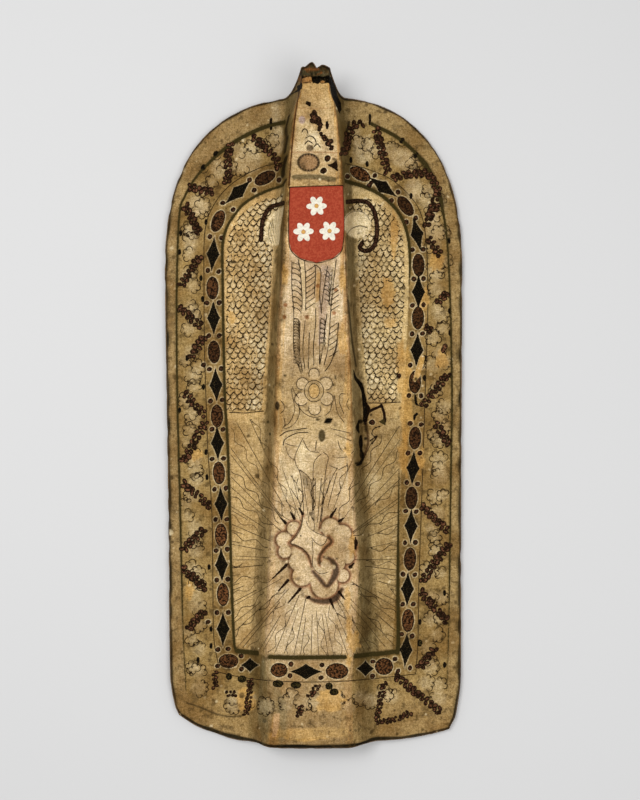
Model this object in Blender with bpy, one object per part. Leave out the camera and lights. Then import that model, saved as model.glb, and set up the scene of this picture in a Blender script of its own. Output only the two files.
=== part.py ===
"""Standing shield with a hollow central ridge, lying on its back.

Metres. +Z points out of the painted front, +Y towards the shield's top, X across.
The origin is under the middle of the shield, on the plane its rim rests on.
"""

import bmesh
import bpy
import numpy as np
from mathutils import Matrix

# Outline of the board
HALF_WIDTH = 0.2640
SPRING_Y = 0.2350
ARCH_RISE = 0.3200
ARCH_POWER = 2.5
ARCH_LEAN = 0.0080
SHOULDER = 0.85
LEFT_SIDE = [(-0.5405, 0.2390), (-0.5245, 0.2460), (-0.4700, 0.2545),
             (-0.2000, 0.2575), (SPRING_Y, HALF_WIDTH)]
RIGHT_SIDE = [(-0.5670, 0.2424), (-0.5400, 0.2531), (-0.4700, 0.2615),
              (-0.2000, 0.2620), (SPRING_Y, HALF_WIDTH)]
BOTTOM = [(-0.2390, -0.5405), (-0.2052, -0.5618), (-0.1770, -0.5725), (-0.1200, -0.5850),
          (0.1000, -0.5850), (0.1536, -0.5831), (0.1945, -0.5778), (0.2424, -0.5670)]

# Board: its thickness, and how far its front rises from the rim to the ridge
THICKNESS = 0.0120
WING_RISE = 0.0100
FLAT_RIM = 0.08
RISE_REACH = 0.50

# Central ridge: (y, half width) of its flat face and of its foot, its drift and its height
FACE_HALF = [(-0.5850, 0.0630), (-0.4810, 0.0655), (-0.4080, 0.0715), (-0.2630, 0.0735),
             (-0.1390, 0.0660), (0.0410, 0.0630), (0.2360, 0.0540), (0.3750, 0.0476),
             (0.5180, 0.0330), (0.5450, 0.0235), (0.5850, 0.0225)]
FOOT_HALF = [(-0.5850, 0.1190), (-0.4190, 0.1105), (-0.2700, 0.1070), (-0.1430, 0.0945),
             (0.0420, 0.0840), (0.2430, 0.0745), (0.3880, 0.0700), (0.5410, 0.0560), (0.5850, 0.0560)]
FACE_DRIFT = [(-0.5850, -0.0040), (-0.4300, -0.0075), (-0.2600, 0.0000), (0.0400, 0.0000),
              (0.5850, 0.0040)]
CREST = [(-0.5850, 0.0750), (-0.4000, 0.0790), (-0.2000, 0.0840), (0.0400, 0.0920),
         (0.2400, 0.1000), (0.4000, 0.1100), (0.5850, 0.1300)]
FLANK_BULGE = [(-0.5850, 0.90), (0.3000, 0.75), (0.4800, 0.50), (0.5500, 0.0), (0.5850, 0.0)]
FACE_CROWN = 0.0030

# The broken nose, where the ridge reaches past the arch
NOSE_RAKE = 0.245
NOSE_BUMPS = [(-0.0060, 0.0085, 0.0060), (0.0150, 0.0070, 0.0025)]

# Channel behind the ridge, closed towards the nose
WALL_ACROSS = 0.0100
WALL_OVER = 0.0030
CHANNEL_TOP = 0.4900
CHANNEL_RUNOUT = 0.0800

# Grip across the channel
GRIP_Y = -0.0200
GRIP_Z = 0.0300
GRIP_RADIUS = 0.0130
GRIP_GAP = 0.0008
GRIP_SIDES = 16

# Faces across and along the mesh
WING_STEPS = 9
FLANK_STEPS = 7
FACE_STEPS = 8
ROWS = 44
FIXED_POINT_ROUNDS = 8
CHANNEL_SAMPLES = 60
SHARP_ANGLE = 35

# Colour, as linear red, green and blue, and roughness
PAINTED_BOARD = ((0.52, 0.37, 0.18), 0.62)
BARE_WOOD = ((0.22, 0.14, 0.08), 0.70)


def through(stations, at):
    """Read a smooth curve through a few (place, value) stations, with no overshoot."""
    places, values = np.array(stations, float).T
    at = np.clip(at, places[0], places[-1])
    chords = np.diff(values) / np.diff(places)
    before = np.append(chords[0], chords)
    after = np.append(chords, chords[-1])
    turning = before * after <= 0
    slopes = np.where(turning, 0, 2 * before * after / np.where(turning, 1, before + after))
    low = np.clip(np.searchsorted(places, at, side="right") - 1, 0, len(places) - 2)
    step = places[low + 1] - places[low]
    f = (at - places[low]) / step
    start = (2 * f**3 - 3 * f**2 + 1) * values[low] + (f**3 - 2 * f**2 + f) * step * slopes[low]
    end = (3 * f**2 - 2 * f**3) * values[low + 1] + (f**3 - f**2) * step * slopes[low + 1]
    return start + end


def eased(f):
    """Zero below 0, one above 1, smooth between."""
    f = np.clip(f, 0, 1)
    return f * f * (3 - 2 * f)


def lean(x):
    """How far the arch leans to the right, most at its top."""
    return ARCH_LEAN * np.clip(1 - (x / HALF_WIDTH) ** 2, 0, 1) ** 2


def on_arch(share):
    """The arch's curve: the share of its rise at a share across, and the other way round."""
    return (1 - share**ARCH_POWER) ** (1 / ARCH_POWER)


def arch_top(x):
    """Height of the arch over a place across the board."""
    across = np.clip(np.abs(x - lean(x)) / HALF_WIDTH, 0, 1)
    return SPRING_Y + ARCH_RISE * on_arch(across)


def side_x(y, right):
    """Distance of the board's side edge from the centre line, up to the shoulder."""
    stations = RIGHT_SIDE if right else LEFT_SIDE
    up = np.clip((y - SPRING_Y) / ARCH_RISE, 0, 1)
    arch = HALF_WIDTH * on_arch(up)
    shift = lean(arch) * (1 if right else -1)
    return np.where(y > SPRING_Y, arch + shift, through(stations, y))


def bottom_y(x):
    """Lower edge of the board, with its two chipped corners."""
    return through(BOTTOM, x)


def reach_to_rim(x, y):
    """Zero on the centre line, one on the outline."""
    up = np.clip((y - SPRING_Y) / ARCH_RISE, 0, None)
    low = np.minimum(y, SPRING_Y)
    across = np.abs(x) / np.where(x > 0, side_x(low, True), side_x(low, False))
    return (across**ARCH_POWER + up**ARCH_POWER) ** (1 / ARCH_POWER)


def wing_front(x, y):
    """Height of the painted board beside the ridge: flat at the rim, then rising."""
    return THICKNESS + WING_RISE * eased((1 - FLAT_RIM - reach_to_rim(x, y)) / RISE_REACH)


def flank(fall, bulge):
    """Profile down the ridge's side: one at the face, zero at the foot."""
    fall = np.clip(fall, 0, 1)
    return (1 - fall) ** 2 * (1 + 2 * bulge * fall)


def ridge_lines(y, inside):
    """Edges of the ridge's face and its foot: left foot, left edge, right edge, right foot."""
    inset = WALL_ACROSS if inside else 0.0
    face = through(FACE_HALF, y) - inset
    foot = through(FOOT_HALF, y) - inset
    drift = through(FACE_DRIFT, y)
    return -foot + drift / 2, -face + drift, face + drift, foot + drift / 2


def ridge_share(x, y, inside):
    """How much of the ridge's height stands at a place."""
    left_foot, left_edge, right_edge, right_foot = ridge_lines(y, inside)
    left_fall = (left_edge - x) / (left_edge - left_foot)
    right_fall = (x - right_edge) / (right_foot - right_edge)
    return flank(np.maximum(left_fall, right_fall), through(FLANK_BULGE, y))


def ridge_height(y):
    """Height of the ridge's face over the board beside it."""
    return through(CREST, y) - THICKNESS - WING_RISE


def front_z(x, y):
    """The painted surface."""
    crown = FACE_CROWN * np.clip((x - through(FACE_DRIFT, y)) / through(FACE_HALF, y), -1, 1) ** 2
    share = ridge_share(x, y, False)
    return wing_front(x, y) + (ridge_height(y) - crown) * share


def back_z(x, y):
    """The hollow side."""
    channel = (ridge_height(y) - WALL_OVER) * eased((CHANNEL_TOP - y) / CHANNEL_RUNOUT)
    return wing_front(x, y) - THICKNESS + channel * ridge_share(x, y, True)


def nose_reach(x, y):
    """How far the ridge's end stands out past the arch: more where it stands higher."""
    share = ridge_share(x, y, False)
    reach = NOSE_RAKE * ridge_height(y) * share
    for place, width, height in NOSE_BUMPS:
        reach = reach + height * np.exp(-(((x - place) / width) ** 2)) * share**4
    return reach


def column_places():
    """Columns from left rim to right rim, as (kind, share) pairs in ridge or wing terms."""
    wing = np.linspace(0, 1, WING_STEPS + 1)
    side = np.linspace(0, 1, FLANK_STEPS + 1)
    face = np.linspace(0, 1, FACE_STEPS + 1)
    columns = [("left wing", share) for share in wing[:0:-1]]
    columns += [("left flank", share) for share in side[:-1]]
    columns += [("face", share) for share in face]
    columns += [("right flank", share) for share in side[1:]]
    columns += [("right wing", share) for share in wing[1:]]
    return columns


def across_board(kind, share, y, side_y, inside):
    """Place across the board of a column, where it passes a height."""
    left_foot, left_edge, right_edge, right_foot = ridge_lines(y, inside)
    if kind == "left wing":
        return left_foot + share * (-side_x(side_y, False) - left_foot)
    if kind == "right wing":
        return right_foot + share * (side_x(side_y, True) - right_foot)
    if kind == "left flank":
        return left_foot + share * (left_edge - left_foot)
    if kind == "right flank":
        return right_edge + share * (right_foot - right_edge)
    return left_edge + share * (right_edge - left_edge)


def board_point(kind, share, up, inside):
    """One point of the front or back sheet, for a column and a share of its length."""
    corner = RIGHT_SIDE[0][0] if kind == "right wing" else LEFT_SIDE[0][0]
    shoulder = SPRING_Y + ARCH_RISE * on_arch(SHOULDER)
    low, high = corner, shoulder
    for _ in range(FIXED_POINT_ROUNDS):
        low = bottom_y(across_board(kind, share, low, corner, inside))
        x = across_board(kind, share, high, shoulder, inside)
        high = arch_top(x) + (0.0 if inside else nose_reach(x, high))
    y = low + up * (high - low)
    side_y = corner + up * (shoulder - corner)
    x = across_board(kind, share, y, side_y, inside)
    return x, y, (back_z(x, y) if inside else front_z(x, y))


def new_object(name, mesh, material, parts):
    """Put a finished piece into the collection."""
    obj = bpy.data.objects.new(name, mesh)
    obj.data.materials.append(material)
    parts.objects.link(obj)
    return obj


def finished_mesh(name, bm):
    """Turn faces outward, make a smooth-shaded mesh, and keep its sharp edges."""
    bmesh.ops.recalc_face_normals(bm, faces=bm.faces)
    mesh = bpy.data.meshes.new(name)
    bm.to_mesh(mesh)
    bm.free()
    mesh.shade_smooth()
    mesh.set_sharp_from_angle(angle=np.radians(SHARP_ANGLE))
    return mesh


def principled(name, colour, roughness):
    """A plain material."""
    material = bpy.data.materials.new(name)
    material.use_nodes = True
    shader = material.node_tree.nodes["Principled BSDF"]
    shader.inputs["Base Color"].default_value = (*colour, 1.0)
    shader.inputs["Roughness"].default_value = roughness
    shader.inputs["Metallic"].default_value = 0.0
    return material


def shield_board(parts):
    """The carved board in one piece: a front sheet and a back sheet, joined round the edge."""
    columns = column_places()
    bm = bmesh.new()
    bmesh.ops.create_grid(bm, x_segments=len(columns) - 1, y_segments=ROWS, size=0.5)
    top_side = bmesh.ops.extrude_face_region(bm, geom=bm.faces[:])
    for vert in [part for part in top_side["geom"] if isinstance(part, bmesh.types.BMVert)]:
        vert.co.z = 1.0
    for vert in bm.verts:
        kind, share = columns[round((vert.co.x + 0.5) * (len(columns) - 1))]
        vert.co = board_point(kind, share, vert.co.y + 0.5, inside=vert.co.z < 0.5)
    material = principled("painted_board", *PAINTED_BOARD)
    new_object("shield_board", finished_mesh("shield_board", bm), material, parts)


def channel_half(y, z):
    """Distance from the channel's middle to its wall, at a height in it."""
    falls = np.linspace(1, 0, CHANNEL_SAMPLES)
    _, left_edge, right_edge, right_foot = ridge_lines(y, True)
    places = right_edge + falls * (right_foot - right_edge)
    return np.interp(z, back_z(places, np.full_like(places, y)), places)


def grip_bar(parts):
    """A round bar across the channel, its ends shaped to the channel's walls."""
    bm = bmesh.new()
    along_x = Matrix.Rotation(np.pi / 2, 4, "Y")
    bmesh.ops.create_cone(bm, cap_ends=True, cap_tris=True, segments=GRIP_SIDES, radius1=GRIP_RADIUS,
                          radius2=GRIP_RADIUS, depth=1.0, matrix=along_x)
    for vert in bm.verts:
        side = 1 if vert.co.x > 0 else -1
        y = GRIP_Y + vert.co.y
        z = GRIP_Z + vert.co.z
        vert.co = (side * (channel_half(y, z) - GRIP_GAP), y, z)
    material = principled("bare_wood", *BARE_WOOD)
    new_object("grip_bar", finished_mesh("grip_bar", bm), material, parts)


def main():
    """Clear the scene and build both pieces."""
    for obj in list(bpy.data.objects):
        bpy.data.objects.remove(obj, do_unlink=True)
    parts = bpy.data.collections.new("standing_shield")
    bpy.context.scene.collection.children.link(parts)
    shield_board(parts)
    grip_bar(parts)


main()
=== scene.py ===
import math

import bmesh
import bpy
import numpy as np
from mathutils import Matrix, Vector


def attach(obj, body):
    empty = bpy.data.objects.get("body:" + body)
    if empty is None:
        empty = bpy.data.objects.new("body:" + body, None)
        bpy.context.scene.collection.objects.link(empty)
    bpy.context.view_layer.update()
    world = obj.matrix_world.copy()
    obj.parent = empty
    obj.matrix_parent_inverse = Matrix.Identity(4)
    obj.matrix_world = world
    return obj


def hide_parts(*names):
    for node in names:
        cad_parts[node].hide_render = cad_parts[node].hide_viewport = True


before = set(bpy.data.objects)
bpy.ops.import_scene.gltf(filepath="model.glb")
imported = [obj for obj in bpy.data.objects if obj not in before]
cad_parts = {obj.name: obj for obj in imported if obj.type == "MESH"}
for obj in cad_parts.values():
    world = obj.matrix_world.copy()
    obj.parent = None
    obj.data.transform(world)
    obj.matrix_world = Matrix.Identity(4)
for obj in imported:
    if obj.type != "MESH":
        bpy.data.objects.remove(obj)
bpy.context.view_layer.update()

# The photograph's frame and its camera, in metres over the lying shield
PHOTO_WIDTH = 640
PHOTO_HEIGHT = 800
CAMERA_PLACE = (0.0115, 0.0173, 2.4)
PIXELS_PER_METRE_AWAY = 1347.6
SENSOR = 36.0

# Outline of the board
HALF_WIDTH = 0.264
SPRING_Y = 0.235
ARCH_RISE = 0.32
ARCH_POWER = 2.5
ARCH_LEAN = 0.008
SHOULDER = 0.85
LEFT_SIDE = [(-0.5405, 0.239), (-0.5245, 0.246), (-0.47, 0.2545), (-0.2, 0.2575), (SPRING_Y, HALF_WIDTH)]
RIGHT_SIDE = [(-0.567, 0.2424), (-0.54, 0.2531), (-0.47, 0.2615), (-0.2, 0.262), (SPRING_Y, HALF_WIDTH)]
BOTTOM = [(-0.239, -0.5405), (-0.2052, -0.5618), (-0.177, -0.5725), (-0.12, -0.585), (0.1, -0.585),
    (0.1536, -0.5831), (0.1945, -0.5778), (0.2424, -0.567)]

# Board and ridge
THICKNESS = 0.012
WING_RISE = 0.01
FLAT_RIM = 0.08
RISE_REACH = 0.5
FACE_HALF = [(-0.585, 0.063), (-0.481, 0.0655), (-0.408, 0.0715), (-0.263, 0.0735), (-0.139, 0.066),
    (0.041, 0.063), (0.236, 0.054), (0.375, 0.0476), (0.518, 0.033), (0.545, 0.0235), (0.585, 0.0225)]
FOOT_HALF = [(-0.585, 0.119), (-0.419, 0.1105), (-0.27, 0.107), (-0.143, 0.0945), (0.042, 0.084),
    (0.243, 0.0745), (0.388, 0.07), (0.541, 0.056), (0.585, 0.056)]
FACE_DRIFT = [(-0.585, -0.004), (-0.43, -0.0075), (-0.26, 0.0), (0.04, 0.0), (0.585, 0.004)]
CREST = [(-0.585, 0.075), (-0.4, 0.079), (-0.2, 0.084), (0.04, 0.092), (0.24, 0.1), (0.4, 0.11),
    (0.585, 0.13)]
FLANK_BULGE = [(-0.585, 0.9), (0.3, 0.75), (0.48, 0.5), (0.55, 0.0), (0.585, 0.0)]
FACE_CROWN = 0.003
NOSE_RAKE = 0.245
# Bumps, splinters and notches along the broken end: place across, width and height
NOSE_BUMPS = [(-0.006, 0.0085, 0.006), (0.015, 0.007, 0.0025), (-0.002, 0.0045, 0.005),
    (-0.018, 0.003, 0.0018), (0.006, 0.0036, -0.002), (0.019, 0.007, 0.003), (0.029, 0.003, 0.001)]
WALL_ACROSS = 0.01
WALL_OVER = 0.003
CHANNEL_TOP = 0.49
CHANNEL_RUNOUT = 0.08

# Rounded edge of the board
EDGE_ROUND = 0.0026
BACK_ROUND = 0.0016
EDGE_WEAR = 0.0007
EDGE_SHARE = 0.4
EDGE_TURNS = (45, 90)
SHARP_ANGLE = 50

# Fine mesh: columns and rows of the front, and how many of them one back face spans
WING_COLUMNS = 112
RIM_COLUMNS = 12
RIM_SHARE = 0.84
FLANK_COLUMNS = 48
FACE_COLUMNS = 112
LOW_ROWS = 720
NOSE_ROWS = 56
NOSE_ROWS_FROM = 0.955
SPLIT_ROW = 388
BACK_STEP = 4
RIGHT_WING = 4
LEFT_FOOT = WING_COLUMNS
RIGHT_FOOT = LEFT_FOOT + 2 * FLANK_COLUMNS + FACE_COLUMNS
LAST_COLUMN = RIGHT_FOOT + WING_COLUMNS
LAST_ROW = LOW_ROWS + NOSE_ROWS
FIXED_POINT_ROUNDS = 8


def through(stations, at):
    """Read a smooth curve through a few (place, value) stations, with no overshoot."""
    places, values = np.array(stations, float).T
    at = np.clip(at, places[0], places[-1])
    chords = np.diff(values) / np.diff(places)
    before = np.append(chords[0], chords)
    after = np.append(chords, chords[-1])
    turning = before * after <= 0
    slopes = np.where(turning, 0, 2 * before * after / np.where(turning, 1, before + after))
    low = np.clip(np.searchsorted(places, at, side="right") - 1, 0, len(places) - 2)
    step = places[low + 1] - places[low]
    f = (at - places[low]) / step
    start = (2 * f**3 - 3 * f**2 + 1) * values[low] + (f**3 - 2 * f**2 + f) * step * slopes[low]
    end = (3 * f**2 - 2 * f**3) * values[low + 1] + (f**3 - f**2) * step * slopes[low + 1]
    return start + end


def eased(f):
    """Zero below 0, one above 1, smooth between."""
    f = np.clip(f, 0, 1)
    return f * f * (3 - 2 * f)


def lean(x):
    """How far the arch leans to the right, most at its top."""
    return ARCH_LEAN * np.clip(1 - (x / HALF_WIDTH) ** 2, 0, 1) ** 2


def on_arch(share):
    """The arch's quarter round: its share one way, from its share the other way."""
    return (1 - share**ARCH_POWER) ** (1 / ARCH_POWER)


def arch_top(x):
    """Height of the arch over a place across the board."""
    return SPRING_Y + ARCH_RISE * on_arch(np.clip(np.abs(x - lean(x)) / HALF_WIDTH, 0, 1))


def side_x(y, right):
    """Distance of the board's side edge from the centre line, up to the shoulder."""
    arch = HALF_WIDTH * on_arch(np.clip((y - SPRING_Y) / ARCH_RISE, 0, 1))
    shift = lean(arch) * (1 if right else -1)
    return np.where(y > SPRING_Y, arch + shift, through(RIGHT_SIDE if right else LEFT_SIDE, y))


def bottom_y(x):
    """Lower edge of the board, with its two chipped corners."""
    return through(BOTTOM, x)


def reach_to_rim(x, y):
    """Zero on the centre line, one on the outline."""
    up = np.maximum((y - SPRING_Y) / ARCH_RISE, 0)
    low = np.minimum(y, SPRING_Y)
    across = np.abs(x) / np.where(x > 0, side_x(low, True), side_x(low, False))
    return (across**ARCH_POWER + up**ARCH_POWER) ** (1 / ARCH_POWER)


def wing_front(x, y):
    """Height of the painted board beside the ridge: flat at the rim, then rising."""
    return THICKNESS + WING_RISE * eased((1 - FLAT_RIM - reach_to_rim(x, y)) / RISE_REACH)


def flank(fall, bulge):
    """Profile down the ridge's side: one at the face, zero at the foot."""
    fall = np.clip(fall, 0, 1)
    return (1 - fall) ** 2 * (1 + 2 * bulge * fall)


def ridge_lines(y, inside):
    """Edges of the ridge's face and its foot: left foot, left edge, right edge, right foot."""
    inset = WALL_ACROSS if inside else 0.0
    face = through(FACE_HALF, y) - inset
    foot = through(FOOT_HALF, y) - inset
    drift = through(FACE_DRIFT, y)
    return -foot + drift / 2, -face + drift, face + drift, foot + drift / 2


def ridge_share(x, y, inside):
    """How much of the ridge's height stands at a place."""
    left_foot, left_edge, right_edge, right_foot = ridge_lines(y, inside)
    left_fall = (left_edge - x) / (left_edge - left_foot)
    right_fall = (x - right_edge) / (right_foot - right_edge)
    return flank(np.maximum(left_fall, right_fall), through(FLANK_BULGE, y))


def ridge_height(y):
    """Height of the ridge's face over the board beside it."""
    return through(CREST, y) - THICKNESS - WING_RISE


def front_z(x, y):
    """The painted surface."""
    crown = FACE_CROWN * np.clip((x - through(FACE_DRIFT, y)) / through(FACE_HALF, y), -1, 1) ** 2
    share = ridge_share(x, y, False)
    return wing_front(x, y) + (ridge_height(y) - crown) * share


def back_z(x, y):
    """The hollow side."""
    channel = (ridge_height(y) - WALL_OVER) * eased((CHANNEL_TOP - y) / CHANNEL_RUNOUT)
    return wing_front(x, y) - THICKNESS + channel * ridge_share(x, y, True)


def nose_reach(x, y):
    """How far the ridge's end stands out past the arch: more where it is higher, with bumps and splinters."""
    share = ridge_share(x, y, False)
    bumps = sum(height * np.exp(-(((x - place) / width) ** 2)) for place, width, height in NOSE_BUMPS)
    return NOSE_RAKE * ridge_height(y) * share + bumps * share**4


def fine_columns():
    """Columns from left rim to right rim, as (strip, share) pairs, closer together near the rim."""
    inner = np.linspace(0, RIM_SHARE, WING_COLUMNS - RIM_COLUMNS + 1)
    wing = np.append(inner, np.linspace(RIM_SHARE, 1, RIM_COLUMNS + 1)[1:])
    side = np.linspace(0, 1, FLANK_COLUMNS + 1)
    strips = [1 - wing[:0:-1], side[:-1], np.linspace(0, 1, FACE_COLUMNS + 1), side[1:], wing[1:]]
    return [(strip, share) for strip, shares in enumerate(strips) for share in shares]


def fine_rows():
    """Rows from foot to top, closer together towards the broken nose."""
    low = np.linspace(0, NOSE_ROWS_FROM, LOW_ROWS + 1)
    return np.append(low, np.linspace(NOSE_ROWS_FROM, 1, NOSE_ROWS + 1)[1:])


def across_board(strip, share, y, side_y, inside, inset):
    """Place across the board of a column, where it passes a height."""
    lines = (inset - side_x(side_y, False), *ridge_lines(y, inside), side_x(side_y, True) - inset)
    return lines[strip] + share * (lines[strip + 1] - lines[strip])


def column_line(strip, share, rows, inside):
    """The x and y of one column, from the lower edge to the arch, held in from the rounded edge."""
    inset = BACK_ROUND if inside else EDGE_ROUND
    low = corner = (RIGHT_SIDE if strip == RIGHT_WING else LEFT_SIDE)[0][0]
    high = shoulder = SPRING_Y + ARCH_RISE * on_arch(SHOULDER)
    for _ in range(FIXED_POINT_ROUNDS):
        low = bottom_y(across_board(strip, share, low, corner, inside, inset))
        x = across_board(strip, share, high, shoulder, inside, inset)
        high = arch_top(x) + (0.0 if inside else nose_reach(x, high))
    y = low + inset + rows * (high - low - 2 * inset)
    return across_board(strip, share, y, corner + rows * (shoulder - corner), inside, inset), y


def plain_sheet(inside):
    """The front or back surface as x, y, z arrays, one row of the array for each column of the mesh."""
    rows = fine_rows()
    lines = np.array([column_line(*column, rows, inside) for column in fine_columns()])
    x, y = lines[:, 0].copy(), lines[:, 1].copy()
    return x, y, (back_z(x, y) if inside else front_z(x, y))


def on_board(places):
    """Places in the photograph, as x and y on the painted surface."""
    px, py = np.array(places, float).reshape(-1, 2).T
    cx, cy, cz = CAMERA_PLACE
    z = np.full(len(px), THICKNESS + WING_RISE)
    for _ in range(FIXED_POINT_ROUNDS):
        x = cx + (px - PHOTO_WIDTH / 2) * (cz - z) / PIXELS_PER_METRE_AWAY
        y = cy + (PHOTO_HEIGHT / 2 - py) * (cz - z) / PIXELS_PER_METRE_AWAY
        z = (z + front_z(x, y)) / 2
    return np.stack([x, y], axis=1)


def colour(red, green, blue):
    """A colour as seen on a screen, 0 to 255, turned into linear light."""
    shown = np.array([red, green, blue]) / 255
    return np.where(shown <= 0.04045, shown / 12.92, ((shown + 0.055) / 1.055) ** 2.4)


def waves(x, y, length, seed, count=14, stretch=1.0):
    """Gentle unevenness between about -1 and 1, made of crossing waves about one length long."""
    chance = np.random.default_rng(seed)
    total = np.zeros_like(x)
    for _ in range(count):
        angle = chance.uniform(0, 2 * math.pi)
        rate = 2 * math.pi / (length * chance.uniform(0.6, 1.6))
        turn = chance.uniform(0, 2 * math.pi)
        total += np.cos(rate * (x * math.cos(angle) + y * math.sin(angle) / stretch) + turn)
    return total / math.sqrt(count)


def spaced(values, count):
    """A value, or a few values read evenly, for each of some points."""
    return np.interp(np.linspace(0, 1, count), np.linspace(0, 1, np.size(values)), np.atleast_1d(values))


def segment_distance(x, y, spread, starts, ends, widths):
    """Distance along the surface to the edge of the nearest of some strokes, and the side it lies on."""
    run = ends - starts
    ax = (x[:, None] - starts[:, 0]) * spread[:, None]
    ay = y[:, None] - starts[:, 1]
    bx = run[:, 0] * spread[:, None]
    by = run[:, 1]
    along = np.clip((ax * bx + ay * by) / np.maximum(bx * bx + by * by, 1e-12), 0, 1)
    half = (widths[:-1] + along * np.diff(widths)) / 2
    apart = np.hypot(ax - along * bx, ay - along * by) - half
    nearest = apart.argmin(axis=1)
    every = np.arange(len(x))
    return apart[every, nearest], (bx * ay - by * ax)[every, nearest]


def is_inside(x, y, outline):
    """Whether places lie inside a closed outline."""
    start = outline
    end = np.roll(outline, -1, axis=0)
    crosses = (start[:, 1] > y[:, None]) != (end[:, 1] > y[:, None])
    rise = np.where(start[:, 1] == end[:, 1], 1, end[:, 1] - start[:, 1])
    at = start[:, 0] + (y[:, None] - start[:, 1]) / rise * (end[:, 0] - start[:, 0])
    return (crosses & (x[:, None] < at)).sum(axis=1) % 2 == 1


def curve(places, steps=6):
    """A smooth line through a few places."""
    places = np.array(places, float)
    points = np.concatenate([[2 * places[0] - places[1]], places, [2 * places[-1] - places[-2]]])
    f = np.arange(steps)[:, None] / steps
    parts = []
    for a, b, c, d in zip(points, points[1:], points[2:], points[3:]):
        bend = (2 * a - 5 * b + 4 * c - d) * f**2 + (3 * b - a - 3 * c + d) * f**3
        parts.append(b + 0.5 * ((c - a) * f + bend))
    return np.concatenate([*parts, places[-1:]])


def ellipse(centre, across, along, turn=0.0, steps=24):
    """Outline of an oval: half sizes in pixels, turned by an angle in degrees."""
    angle = np.linspace(0, 2 * math.pi, steps, endpoint=False)
    return turned(centre, across * np.cos(angle), along * np.sin(angle), turn)


def toward(centre, angle, reach):
    """The place at some reach from a centre, at an angle in degrees."""
    turn = math.radians(angle)
    return (centre[0] + reach * math.cos(turn), centre[1] + reach * math.sin(turn))


def ring(centre, radius, first=0.0, last=360.0, steps=16):
    """Part of a circle, from one angle to another."""
    return np.array([toward(centre, angle, radius) for angle in np.linspace(first, last, steps)])


def turned(centre, across, along, turn):
    """Points round a centre, turned by an angle in degrees, in the photograph's frame."""
    c, s = math.cos(math.radians(turn)), math.sin(math.radians(turn))
    return np.stack([centre[0] + across * c - along * s, centre[1] + across * s + along * c], axis=1)


def lozenge(centre, across, along, turn=0.0, steps=6):
    """Outline of a lozenge with hollow sides."""
    f = np.linspace(0, math.pi / 2, steps, endpoint=False)
    u, v = np.cos(f) ** LOZENGE_HOLLOW, np.sin(f) ** LOZENGE_HOLLOW
    right, up = np.concatenate([u, -v, -u, v]), np.concatenate([v, u, -v, -u])
    return turned(centre, right * across, up * along, turn)


FRONT_X, FRONT_Y, FRONT_Z = plain_sheet(False)
BACK_X, BACK_Y, BACK_Z = plain_sheet(True)

# Open cracks and holes: line in the photograph's pixels, widths along it and depth
GROOVES = [([(353.5, 370), (355.5, 378), (360, 384), (363, 392), (364.5, 402), (365.5, 411), (364, 421)],
        [0.0015, 0.0065, 0.008, 0.006, 0.0085, 0.0095, 0.004], 0.003),
    ([(359, 421), (357.5, 427), (359, 433)], [0.003, 0.007, 0.0025], 0.002),
    ([(360.8, 436), (360.8, 444), (361.2, 451)], [0.004, 0.0075, 0.005], 0.002),
    ([(362.5, 453), (363, 458), (360, 463.5), (356.5, 465.5)], [0.003, 0.0045, 0.006, 0.0025], 0.002),
    ([(325, 422.4), (328.5, 420.6), (331.6, 419.4)], [0.003, 0.0075, 0.003], 0.0045),
    ([(307, 102.4), (309.6, 105)], [0.0042, 0.0052], 0.002),
    ([(327, 122.6), (327, 128)], [0.0052, 0.0044], 0.001),
    ([(301, 84), (300.4, 88), (296, 91.5), (290.5, 94.5)], [0.003, 0.0075, 0.003, 0.0014], 0.001),
    ([(329, 80.5), (331.6, 86), (332.2, 91), (333, 96), (336.5, 102), (338, 107), (339, 112)], [0.006,
        0.0095, 0.007, 0.0065, 0.012, 0.011, 0.004], 0.001)]

# The ridge's broken end: where the paint stops, the open gap above it and the wood past that
BREAK_Y = 0.5543
GAP_HEIGHT = 0.0118
GAP_LEFT = -0.0035
GAP_DEPTH = 0.0085
WOOD_DEPTH = 0.0032
WOOD_LEAST = 0.0022
SPLINTER = 0.0014


def groove_depth(x, y):
    """How deep the open cracks and holes are."""
    depth = np.zeros(x.size)
    for places, width, deep in GROOVES:
        points = on_board(curve(places, 4))
        widths = spaced(width, len(points))
        near = np.flatnonzero((np.abs(x - points[:, 0].mean()) < 0.04) & (y > points[:, 1].min() - 0.01)
                              & (y < points[:, 1].max() + 0.01))
        distance, _ = segment_distance(x[near], y[near], np.ones(near.size), points[:-1], points[1:], widths)
        depth[near] = np.maximum(depth[near], deep * eased(0.5 - distance / 0.0016))
    return depth


def break_depth(x, y):
    """How far the ridge's broken end lies under the painted face."""
    ragged = y - BREAK_Y - 0.001 * waves(x, y, 0.01, seed=51, count=20)
    on_face = eased((ridge_share(x, y, False) - 0.8) / 0.15)
    wood = np.maximum(WOOD_DEPTH + SPLINTER * waves(x, y, 0.007, seed=52, count=24, stretch=2), WOOD_LEAST)
    gap = eased(ragged / 0.0012) * eased((GAP_HEIGHT - ragged) / 0.0014)
    right = eased((x - GAP_LEFT - 0.0015 * waves(x, y, 0.006, seed=53)) / 0.003)
    past = eased((ragged - GAP_HEIGHT * (1 - right)) / 0.0012)
    return on_face * np.maximum(wood * past, GAP_DEPTH * gap * right)


BREAK_DEPTH = break_depth(FRONT_X.ravel(), FRONT_Y.ravel())


def front_relief():
    """Height added to the smooth front: uneven ground, open cracks and the broken end."""
    x, y = FRONT_X, FRONT_Y
    swell = 0.00035 * waves(x, y, 0.045, seed=11)
    ground = 0.00014 * waves(x, y, 0.008, seed=12, count=20)
    cut = groove_depth(x.ravel(), y.ravel()) + BREAK_DEPTH
    return swell + ground - cut.reshape(x.shape)


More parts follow.
